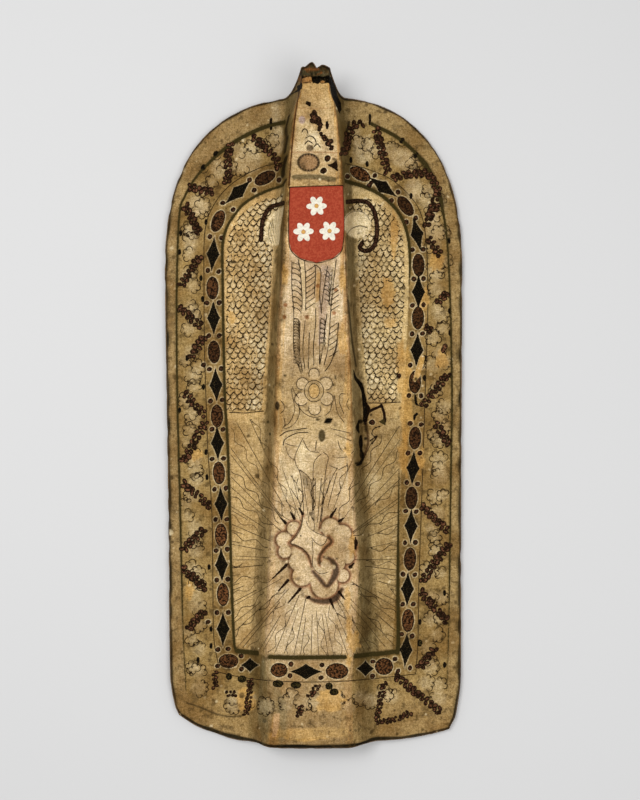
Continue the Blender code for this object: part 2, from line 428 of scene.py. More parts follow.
def grid_normals(x, y, z):
    """Unit normals of a mapped grid, one for each point."""
    along_rows = np.stack([np.gradient(a, axis=1) for a in (x, y, z)], axis=-1)
    along_columns = np.stack([np.gradient(a, axis=0) for a in (x, y, z)], axis=-1)
    normals = np.cross(along_columns, along_rows)
    return normals / np.linalg.norm(normals, axis=-1, keepdims=True)


FINE_Z = FRONT_Z + front_relief()
FINE_NORMALS = grid_normals(FRONT_X, FRONT_Y, FINE_Z)


def sides_of(columns, rows):
    """Grid places along the four sides of a window, anticlockwise seen from the front."""
    (first, last), (low, high) = columns, rows
    return {"foot": [(c, low) for c in range(first, last + 1)],
            "right": [(last, r) for r in range(low, high + 1)],
            "top": [(c, high) for c in range(last, first - 1, -1)],
            "left": [(first, r) for r in range(high, low - 1, -1)]}


FRONT = np.stack([FRONT_X, FRONT_Y, FINE_Z], axis=-1)
BACK = np.stack([BACK_X, BACK_Y, BACK_Z], axis=-1)
OUTLINE = [place for side in sides_of((0, LAST_COLUMN), (0, LAST_ROW)).values() for place in side[:-1]]


def rounded_edge():
    """Points down the board's rounded and worn edge, from front to back, for each place of the outline."""
    c, r = np.array(OUTLINE).T
    top, under = FRONT[c, r], BACK[c, r]
    along = np.roll(top[:, :2], -1, axis=0) - np.roll(top[:, :2], 1, axis=0)
    outward = np.stack([along[:, 1], -along[:, 0]], axis=1)
    outward /= np.linalg.norm(outward, axis=1, keepdims=True)
    most = EDGE_SHARE * (top[:, 2] - under[:, 2])
    drop, lift = np.minimum(EDGE_ROUND, most), np.minimum(BACK_ROUND, most)
    wear = EDGE_WEAR * np.clip(waves(top[:, 0], top[:, 1], 0.04, seed=31, count=20), 0, 2)
    loops = []
    for turn in np.radians(EDGE_TURNS):
        out = (EDGE_ROUND - wear) * math.sin(turn)
        height = top[:, 2] - drop * (1 - math.cos(turn))
        loops.append(np.column_stack([top[:, :2] + outward * out[:, None], height]))
    low = np.column_stack([under[:, :2] + outward * (BACK_ROUND - wear)[:, None], under[:, 2] + lift])
    return np.stack([*loops, (loops[-1] + low) / 2, low], axis=1)


EDGE = rounded_edge()
POINTS = np.concatenate([part.reshape(-1, 3) for part in (FRONT, BACK, EDGE)])
FRONT_NUMBERS = np.arange(FRONT_X.size).reshape(FRONT_X.shape)
BACK_NUMBERS = FRONT_NUMBERS + FRONT_X.size
EDGE_NUMBERS = np.arange(2 * FRONT_X.size, len(POINTS)).reshape(len(OUTLINE), -1)
EDGE_AT = dict(zip(OUTLINE, EDGE_NUMBERS.tolist()))


def wall_faces(columns, rows, free_sides):
    """Faces that close a piece all round: rounded where its side is the board's own edge, flat at a seam."""
    stretches = []
    for side, places in sides_of(columns, rows).items():
        for start in range(0, len(places) - 1, BACK_STEP):
            stretches.append((side in free_sides, places[start:start + BACK_STEP + 1]))
    faces = []
    for i, (is_free, stretch) in enumerate(stretches):
        top = [FRONT_NUMBERS[place] for place in stretch]
        ends = [BACK_NUMBERS[stretch[0]], BACK_NUMBERS[stretch[-1]]]
        if is_free:
            lines = [[number, *EDGE_AT[place]] for number, place in zip(top, stretch)]
            for left, right in zip(lines, lines[1:]):
                faces += [[left[k], left[k + 1], right[k + 1], right[k]] for k in range(len(left) - 1)]
            low = [line[-1] for line in lines]
            faces.append([low[0], *ends, *low[:0:-1]])
        else:
            start = EDGE_AT[stretch[0]] if stretches[i - 1][0] else []
            end = EDGE_AT[stretch[-1]][::-1] if stretches[(i + 1) % len(stretches)][0] else []
            faces.append([top[0], *start, *ends, *end, *top[:0:-1]])
    return faces


def grid_faces(numbers):
    """Four-sided faces between neighbouring points of a grid."""
    corners = [numbers[:-1, :-1], numbers[1:, :-1], numbers[1:, 1:], numbers[:-1, 1:]]
    return np.stack(corners, axis=-1).reshape(-1, 4).tolist()


def board_piece(name, columns, rows, free_sides):
    """One closed piece of the board, between two columns and two rows of the fine grid.

    The front faces get the whole sheet's normals, so that no seam between pieces shows.
    """
    window = (slice(columns[0], columns[1] + 1), slice(rows[0], rows[1] + 1))
    front = grid_faces(FRONT_NUMBERS[window])
    back = grid_faces(BACK_NUMBERS[window][::BACK_STEP, ::BACK_STEP][:, ::-1])
    faces = front + back + wall_faces(columns, rows, free_sides)
    kept = np.unique(np.concatenate(faces))
    number = np.zeros(len(POINTS), int)
    number[kept] = np.arange(kept.size)
    mesh = bpy.data.meshes.new(name)
    mesh.from_pydata(POINTS[kept].tolist(), [], [number[face].tolist() for face in faces])
    mesh.shade_smooth()
    mesh.set_sharp_from_angle(angle=math.radians(SHARP_ANGLE))
    normals = np.zeros((len(mesh.loops), 3))
    normals[:4 * len(front)] = FINE_NORMALS.reshape(-1, 3)[np.ravel(front)]
    mesh.normals_split_custom_set(normals.tolist())
    add_paint(mesh, kept[kept < FRONT_X.size])
    mesh.materials.append(PAINTED_BOARD)
    piece = placed(name, mesh)
    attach(piece, "root")
    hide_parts("shield_board")
    return piece


def placed(name, data, place=(0.0, 0.0, 0.0)):
    """A new object in the scene."""
    thing = bpy.data.objects.new(name, data)
    thing.location = place
    bpy.context.scene.collection.objects.link(thing)
    return thing


# How far a layer's distance reaches, and the colour stored where nothing is painted
FAR = 0.02
BARE_TONE = 0.1
MILLIMETRES = 1000
LINE_HALF = 0.0007
BEAD_RIM = 0.0013

# Colours of the painting, as they look on a screen
GROUND = colour(150, 123, 74)
RIM_LEFT = colour(154, 127, 82)
RIM_RIGHT = colour(154, 128, 82)
FOOT_FIELD = colour(154, 125, 78)
BAND_GROUND = colour(141, 114, 67)
CREAM = colour(208, 183, 142)
PALE = colour(226, 206, 162)
OCHRE = colour(198, 154, 84)
RUST = colour(140, 84, 40)
# Dark olive of the valleys and their bands beside the ridge: dirt and painted shade
FLANK_DIRT_AND_SHADE = colour(72, 60, 30)
BLACK_INK = colour(12, 9, 5)
GREEN_BLACK = colour(20, 20, 13)
BROWN_INK = colour(24, 13, 6)
OLIVE_INK = colour(50, 42, 18)
GARLAND_HEART = colour(82, 52, 34)
JEWEL_HEART = colour(100, 64, 36)
DOT_HEART = colour(70, 42, 26)
CURL_HEART = colour(60, 38, 26)
RED = colour(146, 56, 38)
LIGHT_RED = colour(162, 70, 48)
PINK_BROWN = colour(160, 112, 76)
SHADE_BROWN = colour(80, 58, 38)
SHADE_DARK = colour(58, 46, 34)
CLOUD_CREAM = colour(200, 174, 132)
GREY_GREEN = colour(112, 106, 78)
LILAC = colour(172, 152, 144)
GREY_BAND = colour(92, 80, 52)
NOSE_WOOD = colour(66, 58, 36)
WOOD_GREY = colour(98, 84, 58)
WOOD_BROWN = colour(124, 86, 46)
WOOD_OCHRE = colour(166, 118, 64)
RED_BROWN = colour(62, 30, 12)
TOP_OVAL_BROWN = colour(150, 116, 78)


class Paint:
    """The painted layers over the front sheet, each kept as a distance to the layer's edge, negative inside.

    A thin line is kept as the distance from its middle, with a sign for the side, so that it stays sharp
    between the sheet's points.
    """

    def __init__(self):
        self.x = FRONT_X.ravel()
        self.y = FRONT_Y.ravel()
        slope = np.gradient(FINE_Z, axis=0) / np.gradient(FRONT_X, axis=0)
        self.spread = np.sqrt(1 + slope.ravel() ** 2)
        self.tint = np.tile(GROUND, (self.x.size, 1))
        self.tone = np.tile(BROWN_INK, (self.x.size, 1))
        self.heart = np.tile(BROWN_INK, (self.x.size, 1))
        self.ink = self.blank()
        self.line = self.blank()
        self.white = self.blank()

    def blank(self):
        """A layer with nothing in it."""
        return np.full(self.x.size, FAR)

    def near(self, outline, margin):
        """Numbers of the sheet's points in the box round an outline."""
        low = outline.min(axis=0) - margin
        high = outline.max(axis=0) + margin
        across = (self.x > low[0]) & (self.x < high[0])
        return np.flatnonzero(across & (self.y > low[1]) & (self.y < high[1]))

    def stroke_distance(self, places, width, margin=0.004, seen_from_above=False):
        """Distance to a stroke given by places in the photograph and its width in metres, and its side."""
        points = on_board(places)
        widths = spaced(width, len(points))
        near = self.near(points, margin + widths.max() / 2)
        x, y = self.x[near], self.y[near]
        spread = np.ones(near.size) if seen_from_above else self.spread[near]
        return near, *segment_distance(x, y, spread, points[:-1], points[1:], widths)

    def area_distance(self, places, margin=0.006):
        """Distance to the edge of a closed area, negative inside."""
        outline = on_board(places)
        near = self.near(outline, margin)
        x, y = self.x[near], self.y[near]
        ends = np.roll(outline, -1, axis=0)
        distance, _ = segment_distance(x, y, self.spread[near], outline, ends, np.zeros(len(outline) + 1))
        return near, np.where(is_inside(x, y, outline), -distance, distance)

    def put_ink(self, near, distance, tone=BROWN_INK, heart=None):
        """Keep the nearest inked shape: its tone at the rim and its heart's colour inside."""
        closer = distance < self.ink[near]
        taken = near[closer]
        self.ink[taken] = distance[closer]
        self.tone[taken] = tone
        self.heart[taken] = tone if heart is None else heart

    def ink_stroke(self, places, width, tone=BROWN_INK, heart=None):
        """A broad inked stroke."""
        near, distance, _ = self.stroke_distance(places, width)
        self.put_ink(near, distance, tone, heart)

    def ink_area(self, places, tone=BROWN_INK, heart=None, grow=0.0):
        """An inked area, which may be grown or shrunk."""
        near, distance = self.area_distance(places)
        self.put_ink(near, distance - grow, tone, heart)

    def ink_bead(self, outline, heart, rim=BEAD_RIM):
        """A dark dab that shows its own rim over the dabs under it."""
        near, distance = self.area_distance(outline)
        self.put_ink(near, distance)
        self.tone[near[distance < 0]] = BROWN_INK
        self.heart[near[distance < 0]] = BROWN_INK
        self.heart[near[distance < -rim]] = heart

    def put_line(self, near, distance, side):
        """Keep a thin line: distance from its middle, and the side of it that each point lies on."""
        closer = distance < np.abs(self.line[near])
        taken = near[closer]
        self.line[taken] = distance[closer] * np.where(side[closer] < 0, -1, 1)

    def draw(self, places, width=0.0014):
        """A thin drawn line."""
        near, distance, side = self.stroke_distance(places, width)
        self.put_line(near, (distance + width / 2) * 2 * LINE_HALF / width, side)

    def rub_out(self, places, grow=0.0):
        """Leave no thin lines inside an area."""
        near, distance = self.area_distance(places)
        self.line[near[distance < grow]] = FAR

    def wash(self, places, shade, strength=1.0, soft=0.0008, grow=0.0):
        """Colour an area of the ground, with a soft edge."""
        near, distance = self.area_distance(places, margin=max(0.006, 2 * soft) + abs(grow))
        self.blend(near, shade, strength * eased(0.5 - (distance - grow) / (2 * soft)))

    def wash_stroke(self, places, width, shade, strength=1.0, soft=0.001, seen_from_above=False):
        """Colour the ground along a stroke, with soft edges."""
        near, distance, _ = self.stroke_distance(places, width, 2 * soft, seen_from_above)
        self.blend(near, shade, strength * eased(0.5 - distance / (2 * soft)))

    def blend(self, near, shade, share):
        """Mix a share of a colour into the ground."""
        share = np.asarray(share)[:, None]
        self.tint[near] += (shade - self.tint[near]) * share


PAINT = Paint()
chance = np.random.default_rng(5)


def photo_places():
    """Where each point of the front sheet shows in the photograph."""
    cx, cy, cz = CAMERA_PLACE
    away = cz - FRONT_Z.ravel()
    px = PHOTO_WIDTH / 2 + (PAINT.x - cx) * PIXELS_PER_METRE_AWAY / away
    py = PHOTO_HEIGHT / 2 - (PAINT.y - cy) * PIXELS_PER_METRE_AWAY / away
    return px, py


def edge_distance():
    """Rough distance of each point of the front from the board's outline."""
    sides = np.minimum(FRONT_X - FRONT_X[:1], FRONT_X[-1:] - FRONT_X)
    ends = np.minimum(FRONT_Y - FRONT_Y[:, :1], FRONT_Y[:, -1:] - FRONT_Y)
    return np.minimum(sides, ends).ravel()


PX, PY = photo_places()
SHARE = ridge_share(PAINT.x, PAINT.y, False)
FACE_PLACE = (PAINT.x - through(FACE_DRIFT, PAINT.y)) / through(FACE_HALF, PAINT.y)
EDGE_AWAY = edge_distance()
EVERY = np.arange(PAINT.x.size)
SIDES = (("left", PX < PHOTO_WIDTH / 2), ("right", PX >= PHOTO_WIDTH / 2))


# Broad lines of the painting, in the photograph's pixels
OUTER_LINE = [(186, 690), (183, 630), (181.5, 570), (180.2, 510), (178.8, 460), (177.4, 400), (176.6, 330),
    (177, 270), (179.5, 213), (184.5, 197), (194, 180), (206, 166), (221.5, 151.5), (240, 138.5), (265, 127),
    (285, 122)]
OUTER_LINE_RIGHT = [(372, 124), (398, 138), (420, 158), (432, 180), (440, 200), (446, 230), (449, 270),
    (451, 330), (452, 400), (451, 470), (450, 540), (449, 610), (447, 690)]
INNER_LINE = [(237, 651), (234.5, 645), (233, 620), (231, 563), (229.5, 500), (227.5, 440), (225, 400),
    (223.4, 330), (222.6, 275), (222.4, 250), (223.6, 238), (228, 225), (236, 213), (245, 203), (262, 193),
    (284, 185)]
INNER_LINE_RIGHT = [(345, 181), (365, 187), (385, 198), (400, 215), (408, 237), (410, 262), (409, 285)]
INNER_LINE_LOW = [(399, 470), (398, 560), (398, 600), (398, 648), (392, 652), (355, 656)]
INNER_LINE_FOOT = [(237, 651), (247, 652), (258, 653)]
RIDGE_LINE_FOOT = [(270, 657), (300, 657.5), (345, 657)]
ARCH_SMEAR = [(414, 152), (424, 163), (433, 180), (440.4, 199), (443.6, 214)]
BROAD_LINES = [(OUTER_LINE, (0.001, 0.0036, 0.0036, 0.0036, 0.0036, 0.0066, 0.0074)),
    (OUTER_LINE_RIGHT, (0.006, 0.0064, 0.006, 0.0034, 0.0034, 0.0034, 0.003, 0.001)), (INNER_LINE, 0.0046),
    (INNER_LINE_RIGHT, (0.007, 0.0064, 0.006, 0.0056, 0.0052, 0.0046, 0.0014)),
    (INNER_LINE_LOW, (0.0012, 0.0056, 0.0066, 0.0076, 0.0078)),
    (ARCH_SMEAR, (0.002, 0.009, 0.01, 0.008, 0.002)), (INNER_LINE_FOOT, 0.008), (RIDGE_LINE_FOOT, 0.007)]
BAND_LINE = [(219, 668), (214, 640), (213, 600), (212.5, 540), (211.5, 506), (209.5, 475), (207.5, 443),
    (206, 400), (204.5, 350), (204, 300), (204, 246), (206, 225), (212, 208), (224, 191), (240, 178),
    (262, 167), (284, 162)]
BAND_LINE_RIGHT = [(345, 163), (370, 170), (392, 180), (410, 196), (421, 214), (426, 240), (428, 290),
    (427, 340), (425, 400), (423, 460), (421, 520), (419, 580), (418, 640), (416, 672)]
BAND_LINE_FOOT = [(214, 671), (235, 676), (254, 679), (275, 681), (310, 682), (345, 681), (380, 678),
    (416, 674)]
BAND_WIDTH = 0.0019

# Colours of the ground down the ridge's face, and how dark the valleys are made with dirt and painted shade,
# by the photograph's row
RIDGE_COLOURS = [(80, colour(180, 144, 88)), (105, colour(192, 162, 112)), (150, colour(190, 162, 118)),
    (185, colour(176, 144, 94)), (262, colour(212, 187, 150)), (330, colour(212, 187, 146)),
    (380, colour(164, 136, 92)), (430, colour(188, 161, 114)), (470, colour(202, 176, 134)),
    (560, colour(196, 170, 128)), (640, colour(202, 178, 138)), (662, colour(180, 152, 108)),
    (700, colour(160, 132, 88)), (745, colour(148, 119, 76))]
VALLEY_ROWS = [90, 115, 155, 200, 640, 680, 740]
VALLEY_DIRT_AND_SHADE = {"left": [0.6, 0.35, 0.3, 0.35, 0.36, 0.46, 0.26],
    "right": [0.6, 0.38, 0.28, 0.35, 0.34, 0.34, 0.2]}
# The dark band along each valley, partly dirt and partly painted shade: rows, then its middles, its half
# widths and how dark it is
BAND_ROWS = [105, 145, 210, 255, 305, 355, 405, 455, 505, 555, 610, 645, 668]
BANDS = {"left": [[289.5, 286.5, 283.5, 281, 279, 273.5, 271, 268.5, 267, 265, 262.5, 261, 260], [5, 4.4,
        4.4, 4.8, 6, 5.4, 6.4, 7.4, 6.4, 6.4, 6, 6, 6], [0.4, 0.72, 0.66, 0.7, 0.44, 0.52, 0.58, 0.12, 0.28,
        0.34, 0.34, 0.22, 0]],
    "right": [[343, 344.5, 348.5, 351, 352, 355.5, 360.5, 360.5, 362, 366, 369, 370, 370], [5, 5.6, 4.8, 5.2,
        6.6, 6, 6.4, 5.6, 8, 7.4, 9, 9, 9], [0.4, 0.55, 0.62, 0.64, 0.42, 0.4, 0.48, 0.36, 0.32, 0.3, 0.5,
        0.66, 0.2]]}
BAND_SOFT = 1.6
# How strong the ochre and the rust along the ridge's edges are, by row
OCHRE_ROWS = ([250, 420, 520, 700], [0.6, 0.42, 0.21, 0.18])
RUST_ROWS = ([100, 330, 480, 640], [0.45, 0.405, 0.18, 0.135])
WINGS = {"left": (colour(202, 168, 110), colour(188, 158, 106)),
    "right": (colour(200, 172, 118), colour(172, 146, 98))}
SCALES_END = 405


def along(stations, py):
    """A colour that changes down the shield, from a few (pixel row, colour) stations."""
    rows = [row for row, _ in stations]
    shades = np.array([shade for _, shade in stations])
    return np.stack([np.interp(py, rows, shades[:, i]) for i in range(3)], axis=1)


def within(places):
    """One inside an outline in the photograph, zero outside."""
    return is_inside(PAINT.x, PAINT.y, on_board(places)).astype(float)


def paint_ground():
    """The broad ground colours: field, rim, jewelled band and inner wings."""
    foot = [(440, 708), (376, 735), (250, 735), (195, 712)]
    outer = np.concatenate([curve(OUTER_LINE), curve(OUTER_LINE_RIGHT), foot])
    PAINT.blend(EVERY, np.where(SIDES[0][1][:, None], RIM_LEFT, RIM_RIGHT), 1 - within(outer))
    PAINT.blend(EVERY, FOOT_FIELD, 0.7 * eased((PY - 678) / 30))
    band = np.concatenate([curve(BAND_LINE)[::-1], curve(BAND_LINE_FOOT), curve(BAND_LINE_RIGHT)[::-1]])
    PAINT.blend(EVERY, BAND_GROUND, within(band))
    foot = [(260, 654), (355, 656), (392, 652), (398, 560), (409, 285)]
    inner = within(np.concatenate([curve(INNER_LINE)[::-1], foot, curve(INNER_LINE_RIGHT)[::-1]]))
    lower = eased((PY - SCALES_END) / 20)
    for side, here in SIDES:
        scaled, low = WINGS[side]
        PAINT.blend(EVERY, scaled + (low - scaled) * lower[:, None], inner * here)


def paint_ridge_ground():
    """The ridge's cream face with its ochre edges, and the valleys beside it darkened with dirt and painted
    shade.
    """
    PAINT.blend(EVERY, along(RIDGE_COLOURS, PY), eased((SHARE - 0.88) / 0.06))
    streaks = waves(PAINT.x, PAINT.y, 0.006, seed=41, count=24, stretch=14)
    ochre_edge = eased((np.abs(FACE_PLACE) - 0.8 + 0.08 * streaks) / 0.14) * (SHARE > 0.9)
    PAINT.blend(EVERY, OCHRE, ochre_edge * np.interp(PY, *OCHRE_ROWS))
    rust_edge = eased((np.abs(FACE_PLACE) - 0.93 + 0.05 * streaks) / 0.05) * (SHARE > 0.9)
    PAINT.blend(EVERY, RUST, rust_edge * np.interp(PY, *RUST_ROWS))
    fall = 1 - SHARE
    # The valleys darkened with dark olive, partly dirt and partly painted shade
    valley = eased((fall - 0.1 + 0.1 * streaks) / 0.3) * eased((1.0 - fall) / 0.05)
    wave = 1.2 * waves(PAINT.x, PAINT.y, 0.018, seed=44, count=20)
    for side, here in SIDES:
        dirt_and_shade = np.interp(PY, VALLEY_ROWS, VALLEY_DIRT_AND_SHADE[side])
        PAINT.blend(EVERY, FLANK_DIRT_AND_SHADE, valley * dirt_and_shade * here)
        middle, half, dirt_and_shade = (np.interp(PY, BAND_ROWS, table) for table in BANDS[side])
        inside = eased((half + BAND_SOFT + wave - np.abs(PX - middle)) / (2 * BAND_SOFT))
        PAINT.blend(EVERY, FLANK_DIRT_AND_SHADE, dirt_and_shade * inside * here)
    light_streak = eased(1 - np.abs(fall - 0.35 - 0.05 * streaks) / 0.12) * eased((streaks - 0.2) / 0.5)
    PAINT.blend(EVERY, GROUND, 0.35 * light_streak)


# Bands along the edge, an olive band and a dark line that is partly dirt and partly painted shade of the
# board's edge: colour, strength, reach, how much it varies, softness and what is added at the foot
EDGE_BANDS = [(OLIVE_INK, 0.5, 0.0065, 0.003, 0.006, 0.0), (GREEN_BLACK, 0.92, 0.003, 0.001, 0.002, 0.0026)]
FOOT_ROW = 705
FOOT_FADE = 25


def paint_edges():
    """A darker olive band inside the board's outline, then a dark line along it, partly dirt and partly
    painted shade of the board's edge.
    """
    rough = waves(PAINT.x, PAINT.y, 0.05, seed=42, count=20)
    for shade, strength, reach, vary, soft, at_foot in EDGE_BANDS:
        reach = reach + vary * rough + at_foot * eased((PY - FOOT_ROW) / FOOT_FADE)
        PAINT.blend(EVERY, shade, strength * eased((reach - EDGE_AWAY) / soft))


def paint_lines():
    """The broad olive lines, each in a fainter and wider smear, and the thin ones, that part the painting."""
    for places, width in BROAD_LINES:
        width = np.array(width)
        PAINT.wash_stroke(curve(places), width * 1.5, OLIVE_INK, 0.5, soft=0.0018)
        PAINT.ink_stroke(curve(places), width, OLIVE_INK)
    for places in (BAND_LINE, BAND_LINE_RIGHT, BAND_LINE_FOOT):
        PAINT.draw(curve(places), BAND_WIDTH)


# The jewelled band: middles of its ovals and lozenges, by turns along the band
JEWEL_SIZES = {"oval": (6.2, 11.6), "lozenge": (6.9, 18.6)}
LOZENGE_HOLLOW = 2.45
LEFT_JEWELS = [(223, 629), (223, 594.5), (221.5, 565), (221, 535), (221, 504), (219, 473), (217.5, 443),
    (217, 416), (216, 385), (214, 352), (213.5, 318), (212.5, 288), (213, 254), (218, 221), (238, 192),
    (265, 178)]
RIGHT_JEWELS = [(360, 174), (383, 187), (405.5, 206), (417, 234), (418.5, 265), (418.5, 292), (418, 318),
    (417, 350), (415, 382), (415, 410), (415, 438), (413, 468), (411.5, 498), (411, 526), (410, 559),
    (407.5, 589), (408, 620.5), (406, 650)]
LOST_JEWEL = (415, 410)
FOOT_JEWELS = [(228.5, 661, 7.2, 10.0), (250, 665, 7.4, 9.8), (279, 670, 7.2, 8.6), (306, 671.6, 8.2, 17.0),
    (337, 671, 8.0, 11.4), (365.5, 668.5, 8.3, 9.4), (384, 666.5, 8.6, 9.2)]
FOOT_DOTS = [(218, 649.5), (228, 649), (241, 656), (217.5, 666), (241.5, 669), (291, 664), (290, 675.7),
    (322, 665), (321, 677.7), (373, 661.7), (372.5, 676), (395, 659), (398, 671), (410, 668)]
EXTRA_DOTS = [(277, 169), (279, 180), (347.5, 176.5), (371, 183), (203.5, 365), (208, 622), (399, 376)]
JEWEL_REMAINS = [[(414.4, 393), (417, 397), (417, 402), (419.4, 406.4), (415.4, 405), (414, 400)],
    [(413.2, 420), (413.4, 415), (417, 412.2), (418.8, 414), (416, 416.4), (414.8, 420.5)]]
CHIPPED = [[(421.5, 355), (424.6, 357), (422.6, 367), (419.4, 377), (415, 382), (413, 380), (416.6, 367),
        (419.6, 358)]]
PALE_RING = 0.0014
DOT_RADIUS = 2.5
DOT_REACH = 5.4

# Garlands: the ends and bends of each bar
GARLANDS = [[(186, 207), (200, 235)], [(199, 257), (180, 288)], [(180, 308), (203, 328)],
    [(203, 338), (191, 358)], [(185, 395), (205, 415)], [(205, 423), (183, 462)], [(184, 484), (209, 505)],
    [(203, 530), (182, 551)], [(184, 570), (207, 589)], [(203, 612), (186, 632)],
    [(231, 145), (228, 156), (228, 176), (226, 187)], [(254, 138), (263, 146), (276, 159), (279, 170)],
    [(190, 187), (200, 190), (213, 192)], [(361, 124), (352, 127), (348, 140), (343, 156)],
    [(376, 130), (382, 152), (388, 172)], [(394, 178), (410, 174), (426, 173)],
    [(430, 176), (438, 190), (436, 198), (429, 215)], [(436, 205), (425, 228)], [(430, 240), (440, 255)],
    [(446, 294), (435, 305)], [(426, 327), (434, 332)], [(444, 349), (446, 352)], [(447, 375), (424, 405)],
    [(437, 425), (450, 447)], [(423, 507), (447, 530)], [(448, 545), (422, 582)], [(421, 592), (447, 622)],
    [(397, 677), (440, 712)], [(434, 650), (421, 667)]]
THIN_GARLANDS = [[(215, 674), (215, 689)], [(250, 681), (249, 697), (246, 714)],
    [(384, 684), (380, 700), (377, 720)], [(377, 722), (395, 719.5), (411, 712)],
    [(318, 686), (314, 691), (309, 697)], [(300.5, 707), (299, 717)], [(227, 694), (235, 694)]]
THIN_RADIUS = 2.5
THIN_STEP = 4.2
BEAD_STEP = 5.4
BEAD_RADIUS = 3.4
BEAD_SIDE = 2.0

# Half ovals that hang on the lines
HALF_OVALS = [(181, 233), (179.5, 252), (206, 222), (201, 278), (202.5, 299), (206, 452), (207, 477),
    (209, 567), (211, 629), (211, 646), (186, 209), (187, 358), (367, 164), (351, 160), (411, 196),
    (449, 241), (449.5, 311), (450, 333), (425, 358), (420, 622), (419, 643), (424.4, 378), (444.5, 593),
    (444.5, 665), (179.5, 410), (203.5, 387), (198, 660)]
FOOT_HALF_OVALS = [(229, 676.4, 3.2), (242, 679, 4.4), (278, 683.6, 5.6), (296, 685, 5.4), (329, 686, 3.8),
    (334, 692, 4.6), (420, 643, 2.4)]
ARCH_HALF_OVALS = [(216, 154, 2.8), (203.4, 167.4, 2.6), (402, 140.5, 2.4), (416, 155, 2.4)]
HALF_OVAL = (1.7, 3.2)
FOOT_HALF_HEIGHT = 3.7
ARCH_HALF_HEIGHT = 3.4
UPRIGHT_MARKS = [[(271, 119), (271, 129)], [(370, 115), (370, 124)]]


def paint_jewel(kind, x, y, turn, size):
    """A brown oval or a black lozenge, with a pale ring."""
    if kind == "oval":
        outline = ellipse((x, y), *size, turn)
        PAINT.wash(outline, PALE, 0.5, grow=PALE_RING)
        PAINT.ink_area(outline, BROWN_INK, JEWEL_HEART * chance.uniform(0.35, 1.35))
    else:
        outline = lozenge((x, y), *size, turn)
        PAINT.wash(outline, PALE, 0.4, grow=PALE_RING)
        PAINT.ink_area(outline, BLACK_INK)


def paint_dot(x, y, radius=DOT_RADIUS):
    """A small dark dot with a pale ring round it."""
    outline = ellipse((x, y), radius * chance.uniform(0.88, 1.08), radius * 1.1, chance.uniform(0, 90), 14)
    PAINT.wash(outline, PALE, 0.5, grow=PALE_RING)
    PAINT.ink_area(outline, BROWN_INK, DOT_HEART)


def paint_jewels(jewels, kinds):
    """Ovals and lozenges by turns along a band, with two dots where they meet."""
    middles = np.array(jewels, float)
    ways = np.gradient(middles, axis=0)
    for i, (place, way) in enumerate(zip(jewels, ways)):
        kind = kinds[i % 2]
        if place != LOST_JEWEL:
            paint_jewel(kind, *place, math.degrees(math.atan2(way[1], way[0])) - 90, JEWEL_SIZES[kind])
    for before, after, way in zip(middles, middles[1:], np.diff(middles, axis=0)):
        across = np.array([-way[1], way[0]]) / np.hypot(*way)
        for side in (-1, 1):
            paint_dot(*((before + after) / 2 + across * side * DOT_REACH + chance.uniform(-0.8, 0.8, 2)))


def paint_foot_jewels():
    """The band's lower part, where the jewels lie on their sides and vary in size."""
    for i, (x, y, *size) in enumerate(FOOT_JEWELS):
        paint_jewel(("oval", "lozenge")[i % 2], x, y, 90, size)
    for x, y in FOOT_DOTS + EXTRA_DOTS:
        paint_dot(x, y)
    for outline in JEWEL_REMAINS:
        PAINT.ink_area(outline, BLACK_INK)


def paint_garland(places, step=BEAD_STEP, radius=BEAD_RADIUS):
    """A chain of uneven brush dabs that lie to either side by turns."""
    line = curve(places, steps=12)
    lengths = np.append(0, np.cumsum(np.hypot(*np.diff(line, axis=0).T)))
    for at in np.arange(0, lengths[-1] + 0.5, step):
        middle, ahead = ([np.interp(s, lengths, line[:, i]) for i in (0, 1)] for s in (at, at + 0.5))
        way = np.subtract(ahead, middle) if at + 0.5 < lengths[-1] else way
        way = way / np.hypot(*way)
        side = np.array([-way[1], way[0]])
        for lobe in (-1, 1):
            spot = middle + lobe * (side * BEAD_SIDE * radius / BEAD_RADIUS + way)
            spot += chance.uniform(-0.6, 0.6, 2)
            long = radius * chance.uniform(0.62, 1.1)
            outline = ellipse(spot, long, radius * chance.uniform(0.58, 0.92), chance.uniform(0, 180), 12)
            PAINT.ink_bead(outline, GARLAND_HEART * chance.uniform(0.5, 2.0))


def paint_half_ovals():
    """Small dark ovals on the lines, those on the arch under a thin bow, and two upright marks."""
    for place in HALF_OVALS:
        PAINT.ink_area(ellipse(place, *HALF_OVAL, steps=14), BLACK_INK)
    for x, y, half in FOOT_HALF_OVALS:
        PAINT.ink_area(ellipse((x, y), half, FOOT_HALF_HEIGHT, steps=14), BLACK_INK, OLIVE_INK)
    for x, y, half in ARCH_HALF_OVALS:
        PAINT.ink_area(ellipse((x, y), half, ARCH_HALF_HEIGHT, 30, 14), BLACK_INK)
        PAINT.draw(ring((x, y + 1), half + 2.2, 20, 150, 9), 0.0018)
    for mark in UPRIGHT_MARKS:
        PAINT.ink_stroke(mark, 0.0046, BLACK_INK)


# Fish scales on the inner wings
SCALE_WIDTH = 0.0118
SCALE_PITCH = 0.009
SCALE_DEPTH = 0.009
SCALE_LINE = 0.0026
SCALE_THIN = 0.45
SCALE_LINE_END = 0.27
SCALE_LIGHT_REACH = 0.045
SCALES_LEFT = [(226, 411), (226, 340), (225, 262), (228, 236), (238, 217), (250, 206), (266, 198),
    (284, 192), (275, 225), (272.4, 260), (270.6, 300), (267, 345), (262, 411)]
SCALES_RIGHT = [(347, 206), (366, 196), (384, 206), (397, 219), (404, 238), (405, 270), (405, 300),
    (402, 340), (397, 402), (368, 402), (362, 340), (358.6, 290), (357, 240), (353, 215)]
SCALES_FOOT = [[(230, 412.5), (246, 413), (263, 411)], [(366, 403), (384, 403), (400, 402)]]


